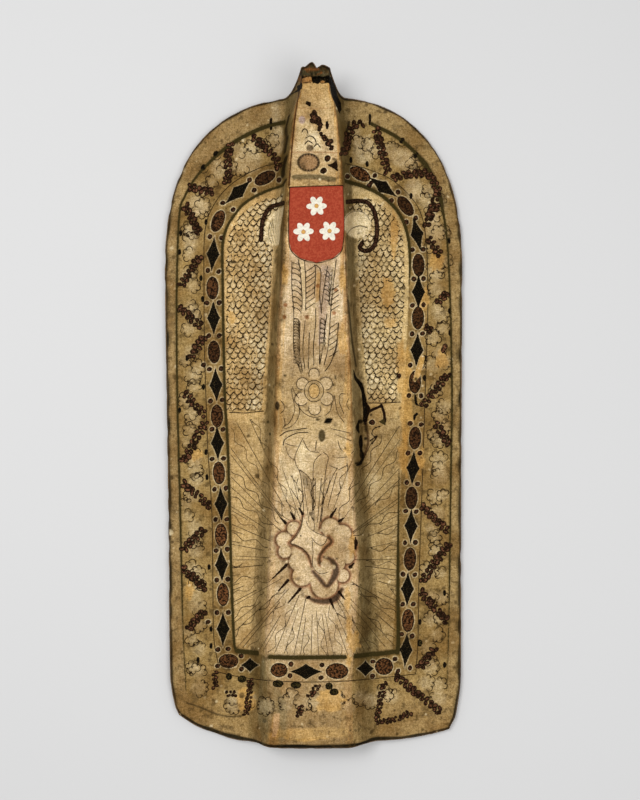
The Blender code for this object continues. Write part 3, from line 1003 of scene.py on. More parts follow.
def scale_lines(x, y):
    """Signed distance to the nearest scale's edge, and how near that place is to the scale's lowest point.

    Each row of scales lies half a scale to the side of the last.
    """
    nearest = np.full(x.size, FAR)
    weight = np.zeros(x.size)
    for step in (-1, 0, 1, 2):
        number = np.floor(-y / SCALE_PITCH) + step
        cell = (x / SCALE_WIDTH + 0.5 * (number % 2) + 0.08 * np.sin(number * 2.3)) % 1 - 0.5
        across = np.clip(np.abs(cell) * 2, 0, 0.97)
        round_end = np.sqrt(1 - across**2)
        steep = 2 * SCALE_DEPTH / SCALE_WIDTH * across / round_end
        distance = (y + number * SCALE_PITCH + SCALE_DEPTH * round_end) / np.sqrt(1 + steep**2)
        closer = np.abs(distance) < np.abs(nearest)
        nearest = np.where(closer, distance, nearest)
        weight = np.where(closer, round_end, weight)
    return nearest, weight


def paint_scales():
    """Rows of fish scales, pale in their middles and dark under their edges, paler towards the ridge as a
    painted highlight.
    """
    x = PAINT.x + 0.0015 * waves(PAINT.x, PAINT.y, 0.035, seed=21)
    y = PAINT.y + 0.0015 * waves(PAINT.x, PAINT.y, 0.03, seed=22)
    nearest, weight = scale_lines(x, y)
    for outline in (SCALES_LEFT, SCALES_RIGHT):
        near, region = PAINT.area_distance(outline, margin=0.001)
        inner = region < 0
        lines = near[inner & (weight[near] > SCALE_LINE_END)]
        here = nearest[near]
        width = SCALE_LINE * (SCALE_THIN + (1 - SCALE_THIN) * weight[lines])
        PAINT.put_line(lines, np.abs(nearest[lines]) * 2 * LINE_HALF / width, nearest[lines])
        whole = eased(-region / 0.004)
        foot = through(FOOT_HALF, PAINT.y[near])
        # Pale middles of the scales, paler towards the ridge as a painted highlight
        by_ridge = eased(1 - (np.abs(PAINT.x[near]) - foot) / SCALE_LIGHT_REACH)
        pale_and_highlight = 0.3 + 0.75 * by_ridge + 0.25 * waves(PAINT.x[near], PAINT.y[near], 0.03, seed=23)
        PAINT.blend(near, PALE, np.clip(pale_and_highlight, 0.08, 1.0) * whole * eased(np.abs(here) / 0.0026))
        crescent = weight[near] * eased((0.0024 + here) / 0.002) * (here < 0)
        PAINT.blend(near, OLIVE_INK, 0.48 * whole * crescent)
    for line in SCALES_FOOT:
        PAINT.draw(line, 0.0024)


# Rays round the cloud, some straight and some waved
RAY_CENTRE = (314, 560)
RAY_FIELD = [(236, 649), (233, 600), (231, 500), (230, 425), (263, 415), (268, 440), (280, 468), (298, 478),
    (328, 478), (344, 468), (352, 450), (372, 440), (400, 425), (402, 500), (397, 560), (396, 600),
    (395, 646), (360, 654), (300, 655), (262, 651)]
RAY_COUNT = 106
RAY_START = 38
RAY_END = 190
RAY_STEPS = 46
RAY_WAVE = 22
RAY_SWING = 2.4
RAY_WIDTHS = (0.001, 0.0016)
RAY_LATE = 0.3


def paint_rays():
    """Thin lines that run out from behind the cloud, cut off at the frame's line."""
    out = np.linspace(RAY_START, RAY_END, RAY_STEPS)
    near, region = PAINT.area_distance(RAY_FIELD, margin=0.001)
    field = np.full(PAINT.x.size, False)
    field[near[region < 0]] = True
    for i in range(RAY_COUNT):
        angle = 2 * math.pi * (i + chance.uniform(-0.35, 0.35)) / RAY_COUNT
        way = np.array([math.cos(angle), math.sin(angle)])
        side = np.array([-way[1], way[0]])
        swing = RAY_SWING * (i % 3 == 1) * np.sin(2 * math.pi * out / RAY_WAVE + chance.uniform(0, 6))
        line = np.array(RAY_CENTRE) + out[:, None] * way + swing[:, None] * side
        line = line[int(chance.uniform(0, RAY_LATE) * RAY_STEPS):]
        width = chance.uniform(*RAY_WIDTHS)
        near, distance, side = PAINT.stroke_distance(line, width)
        kept = field[near]
        PAINT.put_line(near[kept], (distance[kept] + width / 2) * 2 * LINE_HALF / width, side[kept])


# The red shield on the ridge, with three plain flowers
ESCUTCHEON_TOP = [(289.6, 187.4), (343.2, 186)]
ESCUTCHEON_SIDE = [(344.4, 225), (343.6, 240), (341.6, 251), (333, 258.6), (316.5, 263), (300, 258.6),
    (291, 250.4), (288.8, 240), (288.6, 222)]
FLOWERS = [(316.5, 206), (303.5, 232), (329.5, 231)]
PETALS = 6
PETAL_REACH = 6.0
PETAL = (4.3, 2.9)


def paint_escutcheon():
    """The red shield with its dark line, and on it the flowers in white with ochre hearts."""
    outline = np.array(ESCUTCHEON_TOP + ESCUTCHEON_SIDE)
    PAINT.wash(outline, RED, 1.0, soft=0.0006)
    PAINT.rub_out(outline)
    PAINT.ink_area(outline, RED, LIGHT_RED, grow=-0.001)
    PAINT.draw(ESCUTCHEON_TOP, 0.0024)
    PAINT.draw(curve(ESCUTCHEON_TOP[1:] + ESCUTCHEON_SIDE + ESCUTCHEON_TOP[:1], 4), 0.002)
    for flower in FLOWERS:
        for i in range(PETALS):
            angle = 360 / PETALS * i + chance.uniform(-6, 6)
            petal = ellipse(toward(flower, angle, PETAL_REACH), *PETAL, angle, 14)
            near, distance = PAINT.area_distance(petal)
            PAINT.white[near] = np.minimum(PAINT.white[near], distance)
        near, distance = PAINT.area_distance(ellipse(flower, 2.0, 2.0, steps=12))
        PAINT.white[near] = np.maximum(PAINT.white[near], 0.0004 - distance)
        for layer in (PAINT.tone, PAINT.heart):
            layer[near[distance < 0]] = OCHRE


# The ridge's face above the red shield
TOP_OVAL = (308.5, 162.5)
TOP_OVAL_DABS = 20
TOP_DOTS = [(327.5, 158.5), (323.5, 170.8)]
TOP_SPOTS = [((308.4, 103.6), 2.8, 1.9), ((327.2, 125.2), 1.9, 3.2)]
TOP_WEDGE = [(326, 164.4), (331, 164), (336.6, 160.4), (337.8, 165), (338, 171.6), (333, 168.4)]
TOP_BAND = [(294, 177), (306, 176.4), (320, 177), (334, 179.5)]
TOP_BAND_FOOT = [(294, 179.6), (306, 179), (320, 179.6), (334, 182.1)]
TOP_WASHES = [([(297, 122), (309, 120), (318, 134), (322, 150), (297, 151)], PALE, 0.85, 0.005),
    (ellipse((302, 120), 3.4, 4.0), LILAC, 0.9, 0.0016),
    (ellipse((310, 148), 3.6, 3.2), SHADE_BROWN, 0.8, 0.0014)]
TOP_STROKES = [([(291, 152.5), (312, 152), (337, 153)], 0.0012, RUST, 0.8, 0.001),
    ([(297, 108.5), (315, 109), (333, 108)], 0.001, RUST, 0.6, 0.001),
    (TOP_BAND, 0.0078, GREY_BAND, 0.85, 0.0012), (TOP_BAND_FOOT, 0.0014, SHADE_BROWN, 0.7, 0.001)]
TOP_CLUSTERS = [(313.6, 113.8, 5.2), (315.6, 118.4, 7.0), (318.2, 124.4, 5.6), (320, 129, 3.4),
    (321.6, 134, 3.0), (325, 138, 4.4), (329, 142.6, 5.2), (331, 148, 3.4)]
TOP_CURLS = [[(302, 132), (304, 129), (307, 130.5), (308, 134)],
    [(306, 138), (310, 136), (314, 138), (316, 142)], [(305, 144), (308, 141), (312, 143)],
    [(314, 147), (317, 144), (320, 147)]]


def paint_ridge_top():
    """An oval, dots and a bar over the red shield, and garlands with petals over them."""
    for wash in TOP_WASHES:
        PAINT.wash(*wash)
    for stroke in TOP_STROKES:
        PAINT.wash_stroke(*stroke)
    PAINT.wash(ellipse(TOP_OVAL, 11.6, 9.4), BROWN_INK, 0.85)
    PAINT.wash(ellipse(TOP_OVAL, 9.8, 7.9), TOP_OVAL_BROWN, 1.0)
    for spot in ellipse(TOP_OVAL, 9.6, 7.8, steps=TOP_OVAL_DABS):
        PAINT.wash(ellipse(spot, 1.1, 1.1, steps=8), BROWN_INK, 0.9)
    for spot, across, up in TOP_SPOTS:
        PAINT.ink_area(ellipse(spot, across, up, steps=12), BROWN_INK)
    for x, y in TOP_DOTS:
        paint_dot(x, y, 3.3)
    PAINT.ink_area(TOP_WEDGE, BROWN_INK)
    for x, y, radius in TOP_CLUSTERS:
        for i in range(7):
            spot = (x + chance.uniform(-0.45, 0.45) * radius, y + chance.uniform(-0.45, 0.45) * radius)
            outline = ellipse(spot, radius * 0.52, radius * 0.42, chance.uniform(0, 90), 12)
            PAINT.ink_bead(outline, GARLAND_HEART * chance.uniform(0.4, 1.6))
    for line in TOP_CURLS:
        PAINT.draw(curve(line, 4), 0.0026)


# Long lines of the plumes over the rosette
PLUME_LINES = [[(291.9, 262), (291.8, 287), (293.7, 312), (293.5, 346), (296, 359), (301, 373)],
    [(298.4, 260), (300, 269), (302, 295), (302, 309)], [(304.7, 262), (305.8, 289), (305.6, 310)],
    [(315, 265), (315.6, 272), (314.4, 295)], [(316.7, 265.3), (321, 272.2), (319.6, 295), (321.3, 313)],
    [(327.6, 266.5), (324.2, 287), (321.9, 304), (321.3, 313)], [(332.2, 269.3), (331.3, 284), (328.8, 304)],
    [(336.2, 260), (333.4, 284), (330.8, 310), (328.2, 346), (324.2, 365)],
    [(327, 314), (324.8, 330), (322.5, 349), (320.2, 363)], [(320.2, 320), (319.6, 346), (319.4, 364)],
    [(315.6, 309), (315.6, 324), (313.5, 346), (313.8, 365)], [(305, 321), (302.8, 350), (304.7, 368)],
    [(300, 322), (299.6, 352), (302.4, 371)], [(309.3, 333), (308.2, 368)],
    [(338.5, 323), (336.4, 345), (331, 362), (325.3, 371)]]
PLUME_WASHES = [([(298.5, 260), (305, 262), (306, 310), (301.5, 310), (301, 280)], PALE, 0.6),
    ([(317, 270), (321, 274), (320.5, 300), (315.6, 302)], OCHRE, 0.6),
    ([(321, 264), (333, 266), (331, 300), (326, 340), (318, 345), (319, 300)], LILAC, 0.45),
    ([(331, 262), (336, 262), (330, 310), (326, 345), (322, 345), (328, 300)], PALE, 0.45),
    ([(308, 300), (316, 300), (316, 330), (309, 330)], PALE, 0.4)]
PLUME_BARBS = [(292.4, 301, 262, 309, 5.6, 5.5), (306, 314.4, 272, 309, 5.2, -5.5),
    (325, 330, 270, 303, 4.8, 6.0), (321.3, 325.4, 318, 346, 5.0, 6.0), (331.5, 338.5, 290, 315, 5.0, -4.5),
    (329.5, 337, 328, 357, 5.6, -5.0), (294, 299.6, 318, 364, 3.0, 3.6)]


PLUME_SHADE = [(338.5, 324), (337, 345), (334, 356)]
PLUME_DOTS = [(307, 317), (336, 290), (334, 313), (317.7, 286), (285.5, 305), (284.5, 317)]


def barbs(left, right, first, last, step, drop):
    """A plume's short strokes between two lines, each a little bowed."""
    bow = math.copysign(0.9, drop)
    for row in np.arange(first, last, step):
        row = row + chance.uniform(-0.6, 0.6)
        middle = ((left + right) / 2 + bow, row + drop / 2 - bow)
        PAINT.draw(curve([(left, row), middle, (right, row + drop)], 4), 0.0018)


def paint_plumes():
    """The plumes' pale and ochre grounds, their long lines and barbs, one shaded edge and rusty dots."""
    for outline, shade, strength in PLUME_WASHES:
        PAINT.wash(outline, shade, strength, soft=0.002)
    for line in PLUME_LINES:
        PAINT.draw(curve(line), 0.002)
    for barb in PLUME_BARBS:
        barbs(*barb)
    PAINT.wash_stroke(PLUME_SHADE, 0.0026, BLACK_INK, 0.8)
    for place in PLUME_DOTS:
        PAINT.wash(ellipse(place, 2.2, 2.2, steps=10), RUST, 0.8, soft=0.0012)


# The rosette and the scrolls beside it
ROSETTE = (314, 391)
ROSETTE_PETALS = [(-90, 17.5, 5.2), (-30, 15.0, 6.4), (30, 16.0, 6.4), (88, 18.0, 6.0), (150, 16.0, 6.6),
    (-150, 14.5, 6.0)]
SCROLLS = [[(292.5, 387.3), (294.8, 393), (298.3, 397.7)],
    [(291.3, 389.6), (293, 398.8), (294.8, 408), (293, 416), (289, 423), (283.8, 426.5)],
    [(298.3, 403.5), (299.4, 412.7), (296.5, 420.8), (290.8, 426.5), (285, 428.8)],
    [(334.6, 395.4), (335.8, 404.6), (338, 413.8), (343.8, 422)],
    [(299, 407), (303, 412), (309, 416), (316, 417.5), (321, 416)], [(326, 415), (330, 411), (332, 404)],
    [(345, 394), (340.4, 394.2), (339.2, 401.2), (341.5, 408), (343.8, 413.8)],
    [(281, 401), (284, 405), (284, 410), (281, 413)], [(348.5, 398.8), (346.7, 404.6), (349, 409.2)],
    [(284, 418), (285, 424), (283, 428)]]


def paint_rosette():
    """Round petals about a double oval, with thin scrolls on both sides."""
    cx, cy = ROSETTE
    for angle, reach, radius in ROSETTE_PETALS:
        x, y = toward(ROSETTE, angle, reach)
        place = (cx + (x - cx) * 0.92, y)
        arc = (angle - 115, angle + 115)
        PAINT.wash(ellipse(place, radius, radius, steps=16), CREAM, 0.45, soft=0.002)
        PAINT.wash_stroke(ring(place, radius + 0.8, *arc), 0.0024, SHADE_BROWN, 0.3)
        PAINT.draw(ring(place, radius, *arc), 0.0016)
    for across, up in ((5.6, 7.4), (9.6, 10.8)):
        round_line = ellipse(ROSETTE, across, up)
        PAINT.draw(np.concatenate([round_line, round_line[:1]]), 0.0015)
    PAINT.wash(ellipse(ROSETTE, 5, 7), OCHRE, 0.45, soft=0.002)
    for line in SCROLLS:
        PAINT.draw(curve(line, 4), 0.0015)


# The tied banner and the pointed leaf under the rosette
BANNER_LINES = [[(280.3, 435.7), (286.4, 431.6), (295, 429.9), (306.4, 428.2)],
    [(283.5, 444.9), (285.2, 439.1), (296.7, 433.1), (307.6, 432.2)], [(331.7, 428.8), (349.5, 432.8)],
    [(336.3, 434.8), (351.2, 440.8)],
    [(303, 438), (295.5, 454.6), (295.8, 463.8), (300.7, 476), (303.3, 505), (303.6, 512)],
    [(303.3, 440.3), (307.6, 448.9), (312.2, 451.7), (318.5, 452.3)],
    [(299.6, 469.5), (307.6, 475.9), (311.6, 484), (312.2, 505), (313, 520)],
    [(321.4, 454), (316.2, 458.6), (313.3, 466.7), (313.3, 489.6), (314.5, 530)],
    [(323.7, 452.3), (328.3, 457.5), (326, 469.5), (322, 505), (319, 530)],
    [(337.4, 468.4), (332.3, 477), (324, 500), (321, 528)],
    [(338, 441.4), (340.9, 449.4), (349.5, 455.8), (338, 457.8)], [(339.2, 469.5), (346.6, 465.5)],
    [(286, 443.6), (291, 445.4), (296.7, 446)], [(285.8, 447), (288.6, 455.2), (295, 461)],
    [(330.5, 466), (336.9, 468.4)], [(291, 476), (296, 483), (299, 492)],
    [(291, 489), (295, 495), (300, 503)]]
BANNER_WASHES = [([(300.5, 471), (307.6, 476), (311, 484), (311.5, 495), (306, 488), (303, 484)], OLIVE_INK,
        0.5),
    ([(296, 446), (302, 441), (309, 450), (318, 453), (313, 470), (313, 480), (300, 469)], PALE, 0.45),
    ([(280, 458), (298, 464), (302, 500), (282, 500)], PALE, 0.45),
    ([(314, 458), (326, 456), (322, 500), (315, 500)], PALE, 0.4)]


def paint_banner():
    """The banner's grounds and its outlines, the first two bolder."""
    for outline, shade, strength in BANNER_WASHES:
        PAINT.wash(outline, shade, strength, soft=0.003)
    for i, line in enumerate(BANNER_LINES):
        PAINT.draw(curve(line), 0.0022 if i < 2 else 0.0015)


# The cloud that the rays come from: lobes as x, y and radius
CLOUD_LOBES = [(293.8, 528.3, 6.5), (284.2, 540.0, 7.6), (284.9, 551.5, 6.2), (297.7, 561.7, 8.6),
    (302.2, 576.0, 9.6), (324.6, 585.0, 13.0), (330.4, 527.5, 9.0), (342.0, 534.0, 9.0), (346.5, 546.0, 8.5),
    (347.5, 557.0, 6.5), (342.5, 575.5, 6.4), (337.0, 563.0, 8.0)]
CLOUD_BODY = [(300, 527), (312, 545), (328, 532), (345, 545), (343, 563), (335, 580), (318, 590), (303, 575),
    (291, 552)]
CLOUD_SHADES = [([(289, 543.4), (296, 545.8), (303.5, 550), (309, 557.5), (312, 566)], 0.005),
    ([(328.5, 537.3), (331.4, 542), (325.6, 547.6), (320.8, 554), (319.6, 559), (320.4, 564)], 0.0064),
    ([(303, 514), (301.4, 524), (296.4, 534), (290, 542)], 0.0044)]
CLOUD_DARKS = [([(324, 557), (330, 559), (335, 565), (335.6, 573), (332, 580.6), (326.6, 586.4),
        (320.6, 580), (313, 571.4)], (0.0036, 0.006, 0.0092, 0.011, 0.0086, 0.0046, 0.0066, 0.0052)),
    ([(306, 596.6), (315, 600.4), (325, 601.4), (335, 598.6), (342, 589)],
        (0.003, 0.007, 0.009, 0.011, 0.005))]
CLOUD_GLOW = [(279, 531), (275, 541), (277, 553), (285, 562), (290, 570), (293, 582), (302, 590)]
CLOUD_LEAF = [(303, 517), (306.4, 522), (308.6, 527), (315, 532), (321.4, 534.7), (327.4, 537.4), (325, 543),
    (321.4, 545.6), (321.6, 549), (317.6, 555), (316, 561), (317.4, 566.6), (321, 570), (316.6, 571.4),
    (312.6, 566), (311.4, 558), (308, 552.4), (303, 548), (296, 544.6), (290.6, 543), (296, 537), (301, 528)]
CLOUD_LIGHTS = [CLOUD_LEAF, ellipse((324.6, 564.3), 3.8, 3.6), ellipse((333, 567), 2.6, 2.4),
    ellipse((324, 572.6), 4.2, 1.7)]
CLOUD_LINES = [[(306.4, 522), (308.6, 527), (315, 532), (321.4, 534.7), (327.4, 537.4)],
    [(327.4, 537.4), (325, 543), (321, 545.4), (316.2, 543), (311.8, 538)],
    [(312.2, 541), (313, 552.7), (312.4, 560), (313.4, 567), (317, 571.8), (321.6, 573.8), (328, 572)],
    [(303, 517), (301, 528), (296, 537), (290.6, 543), (296, 545), (303.4, 549), (309, 556)]]
CLOUD_SPOTS = [((356, 543), 2.0, 4.0), ((350.6, 567), 2.4, 1.8), ((300.8, 535.7), 0.9, 0.9)]
WEDGES = [((285.7, 523), (280.4, 517.6)), ((294.2, 518.4), (290.3, 511.5)), ((302.6, 513.8), (298.8, 507.7)),
    ((330.9, 516.5), (336.6, 508)), ((339.3, 521), (344.2, 517.8)), ((355.8, 548), (355.4, 537)),
    ((350.5, 567), (354, 563)), ((286.5, 565), (272.7, 578.5)), ((288, 580.4), (278.5, 590.8)),
    ((300.3, 588.8), (288, 603)), ((330.5, 600), (334, 609)), ((339, 592), (345, 599.5)),
    ((309, 597), (306.6, 598.6))]


def paint_cloud():
    """Round lobes in cream, shaded brown between, with dark wedges between the rays."""
    for x, y, radius in CLOUD_LOBES:
        PAINT.wash(ellipse((x, y), radius + 3.0, radius + 3.0), PINK_BROWN, 0.9, soft=0.0032)
        PAINT.rub_out(ellipse((x, y), radius + 1.5, radius + 1.5))
    PAINT.rub_out(CLOUD_BODY)
    PAINT.wash_stroke(curve(CLOUD_GLOW, 4), 0.007, SHADE_BROWN, 0.45, soft=0.004)
    for x, y, radius in CLOUD_LOBES:
        PAINT.wash_stroke(ring((x, y), radius + 0.8), 0.003, SHADE_BROWN, 0.75, soft=0.0018)
    for x, y, radius in CLOUD_LOBES:
        PAINT.wash_stroke(ring((x, y), radius + 0.4), 0.0014, SHADE_BROWN, 0.35, soft=0.0014)
        PAINT.wash(ellipse((x, y), radius, radius), CLOUD_CREAM, 1.0)
        middle = (x - 0.2 * radius, y - 0.2 * radius)
        PAINT.wash(ellipse(middle, 0.5 * radius, 0.5 * radius), CREAM, 0.8, soft=0.003)
    PAINT.wash(CLOUD_BODY, CLOUD_CREAM, 1.0, soft=0.004)
    for places, width in CLOUD_SHADES:
        PAINT.wash_stroke(curve(places), width * 1.5, PINK_BROWN, 0.85, soft=0.002)
        PAINT.wash_stroke(curve(places), width * 0.7, SHADE_BROWN, 0.95, soft=0.0012)
    for places, widths in CLOUD_DARKS:
        PAINT.wash_stroke(curve(places), np.array(widths) * 1.4, PINK_BROWN, 0.7, soft=0.002)
        PAINT.wash_stroke(curve(places), np.array(widths), SHADE_DARK, 0.9, soft=0.002)
    for outline in CLOUD_LIGHTS:
        PAINT.wash(outline, CREAM, 1.0, soft=0.001)
    for place, across, up in CLOUD_SPOTS:
        PAINT.ink_area(ellipse(place, across, up, steps=12), BROWN_INK)
    for inner, outer in WEDGES:
        PAINT.ink_stroke([inner, outer], np.array([0.0056, 0.0022]), BROWN_INK)
    for line in CLOUD_LINES:
        PAINT.draw(curve(line), 0.0014)


# Dark curled bands on the inner wings, and the feathered shape beside the left one
CURL_RIGHT = [(346, 202), (358, 201), (368, 203), (375, 214), (377, 232), (374, 246), (366, 251), (360, 248),
    (362, 243)]
CURL_LEFT = [(284, 203), (270, 208), (263, 220), (261, 240)]
CURL_FEATHER = [(284, 206), (272, 212), (266, 224), (264, 240), (272, 246), (279, 244), (281, 225)]
CURL_CIRCLE = ((357, 224), 14)


def paint_curls():
    """A pale circle and a pale feathered shape, each under a dark curled band."""
    centre, radius = CURL_CIRCLE
    for outline in (CURL_FEATHER, ellipse(centre, radius, radius)):
        PAINT.wash(outline, PALE, 0.8, soft=0.002)
        PAINT.rub_out(outline)
    PAINT.draw(ring(centre, radius - 1, 200, 340), 0.0014)
    PAINT.draw(ring((centre[0] + 3, centre[1] + 16), radius, 205, 300), 0.0018)
    for places in (CURL_RIGHT, CURL_LEFT):
        PAINT.ink_stroke(curve(places), 0.0082, BROWN_INK, CURL_HEART)
    for i in range(5):
        top = (280 - 2.4 * i, 210 + 3 * i)
        PAINT.draw(curve([top, (top[0] - 2, 226 + 2 * i), (top[0] + 1, 243)], 4), 0.001)


# Middle lines of the outer field, along which the scalloped clouds lie
FIELD_LEFT = [(193, 690), (193, 560), (192, 400), (191, 260), (198, 212), (216, 180), (245, 152), (275, 141)]
FIELD_RIGHT = [(358, 142), (395, 156), (420, 180), (434, 212), (438, 260), (438, 400), (436, 560), (432, 700)]
FIELD_FOOT = [(225, 700), (262, 705), (300, 700), (345, 700), (400, 700)]
CLOUD_STEP = 11.0
CLOUD_SPREAD = 7.0


def paint_scallops():
    """Rows of small round lobes, drawn as thin lines, along the outer field."""
    for field in (FIELD_LEFT, FIELD_RIGHT, FIELD_FOOT):
        line = curve(field, 10)
        lengths = np.append(0, np.cumsum(np.hypot(*np.diff(line, axis=0).T)))
        for at in np.arange(4, lengths[-1], CLOUD_STEP):
            spread = chance.uniform(-CLOUD_SPREAD, CLOUD_SPREAD, 2)
            middle = np.array([np.interp(at, lengths, line[:, i]) for i in (0, 1)]) + spread
            paint_scallop(middle, chance.uniform(4.0, 7.5), chance.integers(3, 7), chance.uniform(0, 360))


def paint_scallop(middle, radius, lobes, first):
    """Part of a small cloud: uneven lobes side by side on an arc, pale inside."""
    PAINT.wash(ellipse(middle, radius, radius, steps=10), PALE, 0.22, soft=0.006)
    angle = first
    for _ in range(lobes):
        lobe = chance.uniform(1.9, 3.6)
        half = math.degrees(0.85 * lobe / radius)
        angle += half
        place = toward(middle, angle, radius)
        PAINT.draw(ring(place, lobe, angle - 95, angle + 95, 9), chance.uniform(0.0014, 0.0022))
        angle += half


# Places where the paint is lost to the ochre under it: middle and half sizes
LOSSES = [(394, 236, 4, 22), (388, 292, 7, 16), (390, 323, 7, 5), (401, 350, 4, 12), (404, 372, 8, 26),
    (406, 410, 6, 34), (404, 455, 6, 22), (436, 260, 8, 12), (424, 300, 5, 14), (442, 360, 6, 10),
    (347, 600, 3.4, 13), (349, 626, 3.6, 12), (354, 642, 7, 10), (348, 450, 5, 7), (285, 275, 4, 10),
    (342, 280, 4, 14), (342, 340, 5, 16), (232, 318, 4, 7), (196, 455, 6, 6), (276, 727, 4, 13),
    (330, 700, 16, 12), (300, 735, 30, 6), (349, 660, 3, 6), (190, 590, 5, 9), (245, 700, 10, 12),
    (420, 460, 5, 14), (352, 545, 4, 12)]


def ragged(x, y, across, up, seed):
    """An uneven round outline."""
    turns = np.linspace(0, 2 * math.pi, 22, endpoint=False)
    bumps = np.random.default_rng(seed).uniform(0.65, 1.25, 22)
    return np.stack([x + across * bumps * np.cos(turns), y + up * bumps * np.sin(turns)], axis=1)


def paint_losses():
    """A chipped lozenge, and ragged places where the ochre shows and the lines are gone."""
    for outline in CHIPPED:
        near, distance = PAINT.area_distance(outline)
        PAINT.ink[near[distance < 0]] = FAR
        PAINT.wash(outline, OCHRE, 0.8)
    for i, (x, y, across, up) in enumerate(LOSSES):
        PAINT.wash(ragged(x, y, across, up, 100 + i), OCHRE, 0.65, soft=0.0022)
        PAINT.rub_out(ragged(x, y, across * 0.85, up * 0.85, 200 + i))


# Dirt, marks and painted shade: black streaks and stains beside the ridge, painted shade down the left valley
# and in holes, and a small figure left over on the right wing
STREAKS = [([(289, 116), (287, 124), (286, 130), (287, 138)], 0.005), ([(287.4, 138), (285, 152)], 0.0056),
    ([(286, 158), (283.6, 168), (283, 176)], 0.008), ([(286, 180), (282, 186)], 0.005),
    ([(349, 122), (346, 136), (345, 152)], 0.005), ([(303, 70), (302, 78), (301.4, 84)], 0.0044),
    ([(348, 300), (352, 340), (356, 366)], 0.0036),
    ([(187, 703), (200, 707.3), (213.5, 713), (227, 716.4), (241, 716)], 0.0026),
    ([(262, 745), (300, 746), (345, 745), (372, 742)], 0.004)]
# Paler strips beside the ridge's valleys: places in the photograph's pixels and width
PALE_BY_VALLEYS = [([(273, 230), (271, 270), (268.5, 310), (265, 345)], 0.008),
    ([(360, 250), (361, 290), (364, 335)], 0.008), ([(371, 436), (373, 470), (374, 500)], 0.015),
    ([(276, 106), (275, 130), (277, 152)], 0.012), ([(356, 132), (357, 150), (360, 160)], 0.012)]
STREAK = (BLACK_INK, 0.85, 0.0018)
# The greenish-black line down the left valley's bottom is partly painted shade; the two red-brown lines are
# paint
VALLEY_CORE = [(283.4, 205), (282.4, 235), (281.4, 262), (279.4, 290), (276, 330)]
FACE_EDGE_LINE = [(299.4, 90), (297.2, 104), (294.8, 120), (291.8, 150), (289, 186)]
VALLEY_EDGE = [(365.6, 424), (367.6, 434), (368, 443), (366, 451), (363, 458), (359, 463.6)]
DIRT_AND_SHADE_LINES = [(VALLEY_CORE, 0.003, GREEN_BLACK, 0.55, 0.0034),
    (FACE_EDGE_LINE, 0.0028, RED_BROWN, 0.95, 0.001), (VALLEY_EDGE, 0.0044, RED_BROWN, 0.85, 0.002)]
OLD_FIGURE = [([(367, 412.6), (374, 409), (381.4, 406)], 0.005),
    ([(381.4, 405), (384, 413), (385, 421)], 0.0052),
    ([(366, 404), (368.4, 409), (366.6, 416), (365, 423)], 0.0066),
    ([(380, 426.4), (374, 428.6), (372, 434), (375.6, 437.4)], 0.0022),
    ([(370, 441), (377, 436), (372, 444)], 0.0024)]
PALE_PATCH = [(352, 373), (357, 387), (361, 396), (361.6, 408), (359, 419), (355, 420), (353, 405),
    (352, 388)]
GREEN_STAIN = [(262, 656), (269, 655), (274, 668), (272, 682), (279, 690), (285, 700), (287, 716),
    (287, 734), (281, 745), (277, 737), (279.5, 715), (273.5, 713), (270, 735), (263, 746), (258, 720),
    (259, 690)]
SALMON_PATCH = [(274, 714), (279.6, 713), (279, 726), (276, 737), (271.6, 737), (273, 725)]
FOOT_STRIP = [(288, 729), (320, 727), (348, 728), (348, 737), (318, 738), (289, 739)]
ARCH_LIGHTS = [(280, 140, 4, 13), (249, 160, 12, 14), (218, 168, 7, 9), (196, 206, 8, 10), (366, 150, 8, 13),
    (402, 158, 11, 9), (414, 190, 9, 11), (190, 240, 6, 14), (433, 228, 7, 12)]
PATCHES = [(PALE_PATCH, colour(128, 108, 68), 0.6, 0.004), (GREEN_STAIN, GREY_GREEN, 0.42, 0.005),
    (SALMON_PATCH, colour(184, 148, 104), 1.0, 0.001), (FOOT_STRIP, colour(176, 142, 88), 0.8, 0.0016)]
# Holes in the valleys and the face, painted black as their shade: middle and half sizes
VALLEY_HOLES = [(360.8, 442, 2.2, 6.6), (357.6, 428, 1.7, 3.4), (360.4, 421.4, 2.8, 2.2),
    (365.6, 438.6, 1.7, 1.7), (361.8, 454.6, 2.4, 4.2), (358.6, 463.4, 4.0, 1.7), (366, 428, 1.3, 3.4),
    (277.3, 405.8, 2.3, 4.6), (328.3, 420.8, 3.6, 3.0)]
SPECKS = 420
SPECKS_ACROSS = (170, 455)
SPECKS_DOWN = (100, 740)
DARK_SHARE = 0.65
SPECK_DARK = colour(52, 38, 18)
STAINS = [((321.9, 435.7), 3.6, 6.4), ((317.4, 419.6), 1.8, 1.4), ((333.6, 384.8), 1.2, 1.4),
    ((335.2, 377.4), 1.0, 2.2), ((285, 375.6), 1.5, 1.2), ((268, 422), 1.4, 1.4), ((270, 434), 1.2, 1.6),
    ((233, 262), 3.0, 1.6), ((416, 379), 1.6, 1.6)]


def paint_arch_lights():
    """Places in the arch's field where the pale ground is clean, and paler strips beside the ridge's valleys.
    """
    for x, y, across, up in ARCH_LIGHTS:
        PAINT.wash(ellipse((x, y), across, up), PALE, 0.35, soft=0.006)
    for places, width in PALE_BY_VALLEYS:
        PAINT.wash_stroke(curve(places, 4), width, PALE, 0.3, soft=0.007, seen_from_above=True)


def paint_specks():
    """Small dark marks and pale chips strewn over the whole front."""
    places = (chance.uniform(*SPECKS_ACROSS, SPECKS), chance.uniform(*SPECKS_DOWN, SPECKS))
    for x, y, size in zip(*places, chance.gamma(2, 0.4, SPECKS)):
        outline = ellipse((x, y), 0.4 + size, 0.4 + size * chance.uniform(0.4, 1), chance.uniform(0, 180), 9)
        dark = chance.random() < DARK_SHARE
        PAINT.wash(outline, SPECK_DARK if dark else PALE, chance.uniform(0.35, 0.85), soft=0.0012)


VALLEY_DOT = (372, 422.2, 2.9)
VALLEY_POINT = [(378.4, 421.6), (385.4, 417.6), (385.8, 426)]
FACE_TICK = [(316.2, 442), (315.6, 450)]


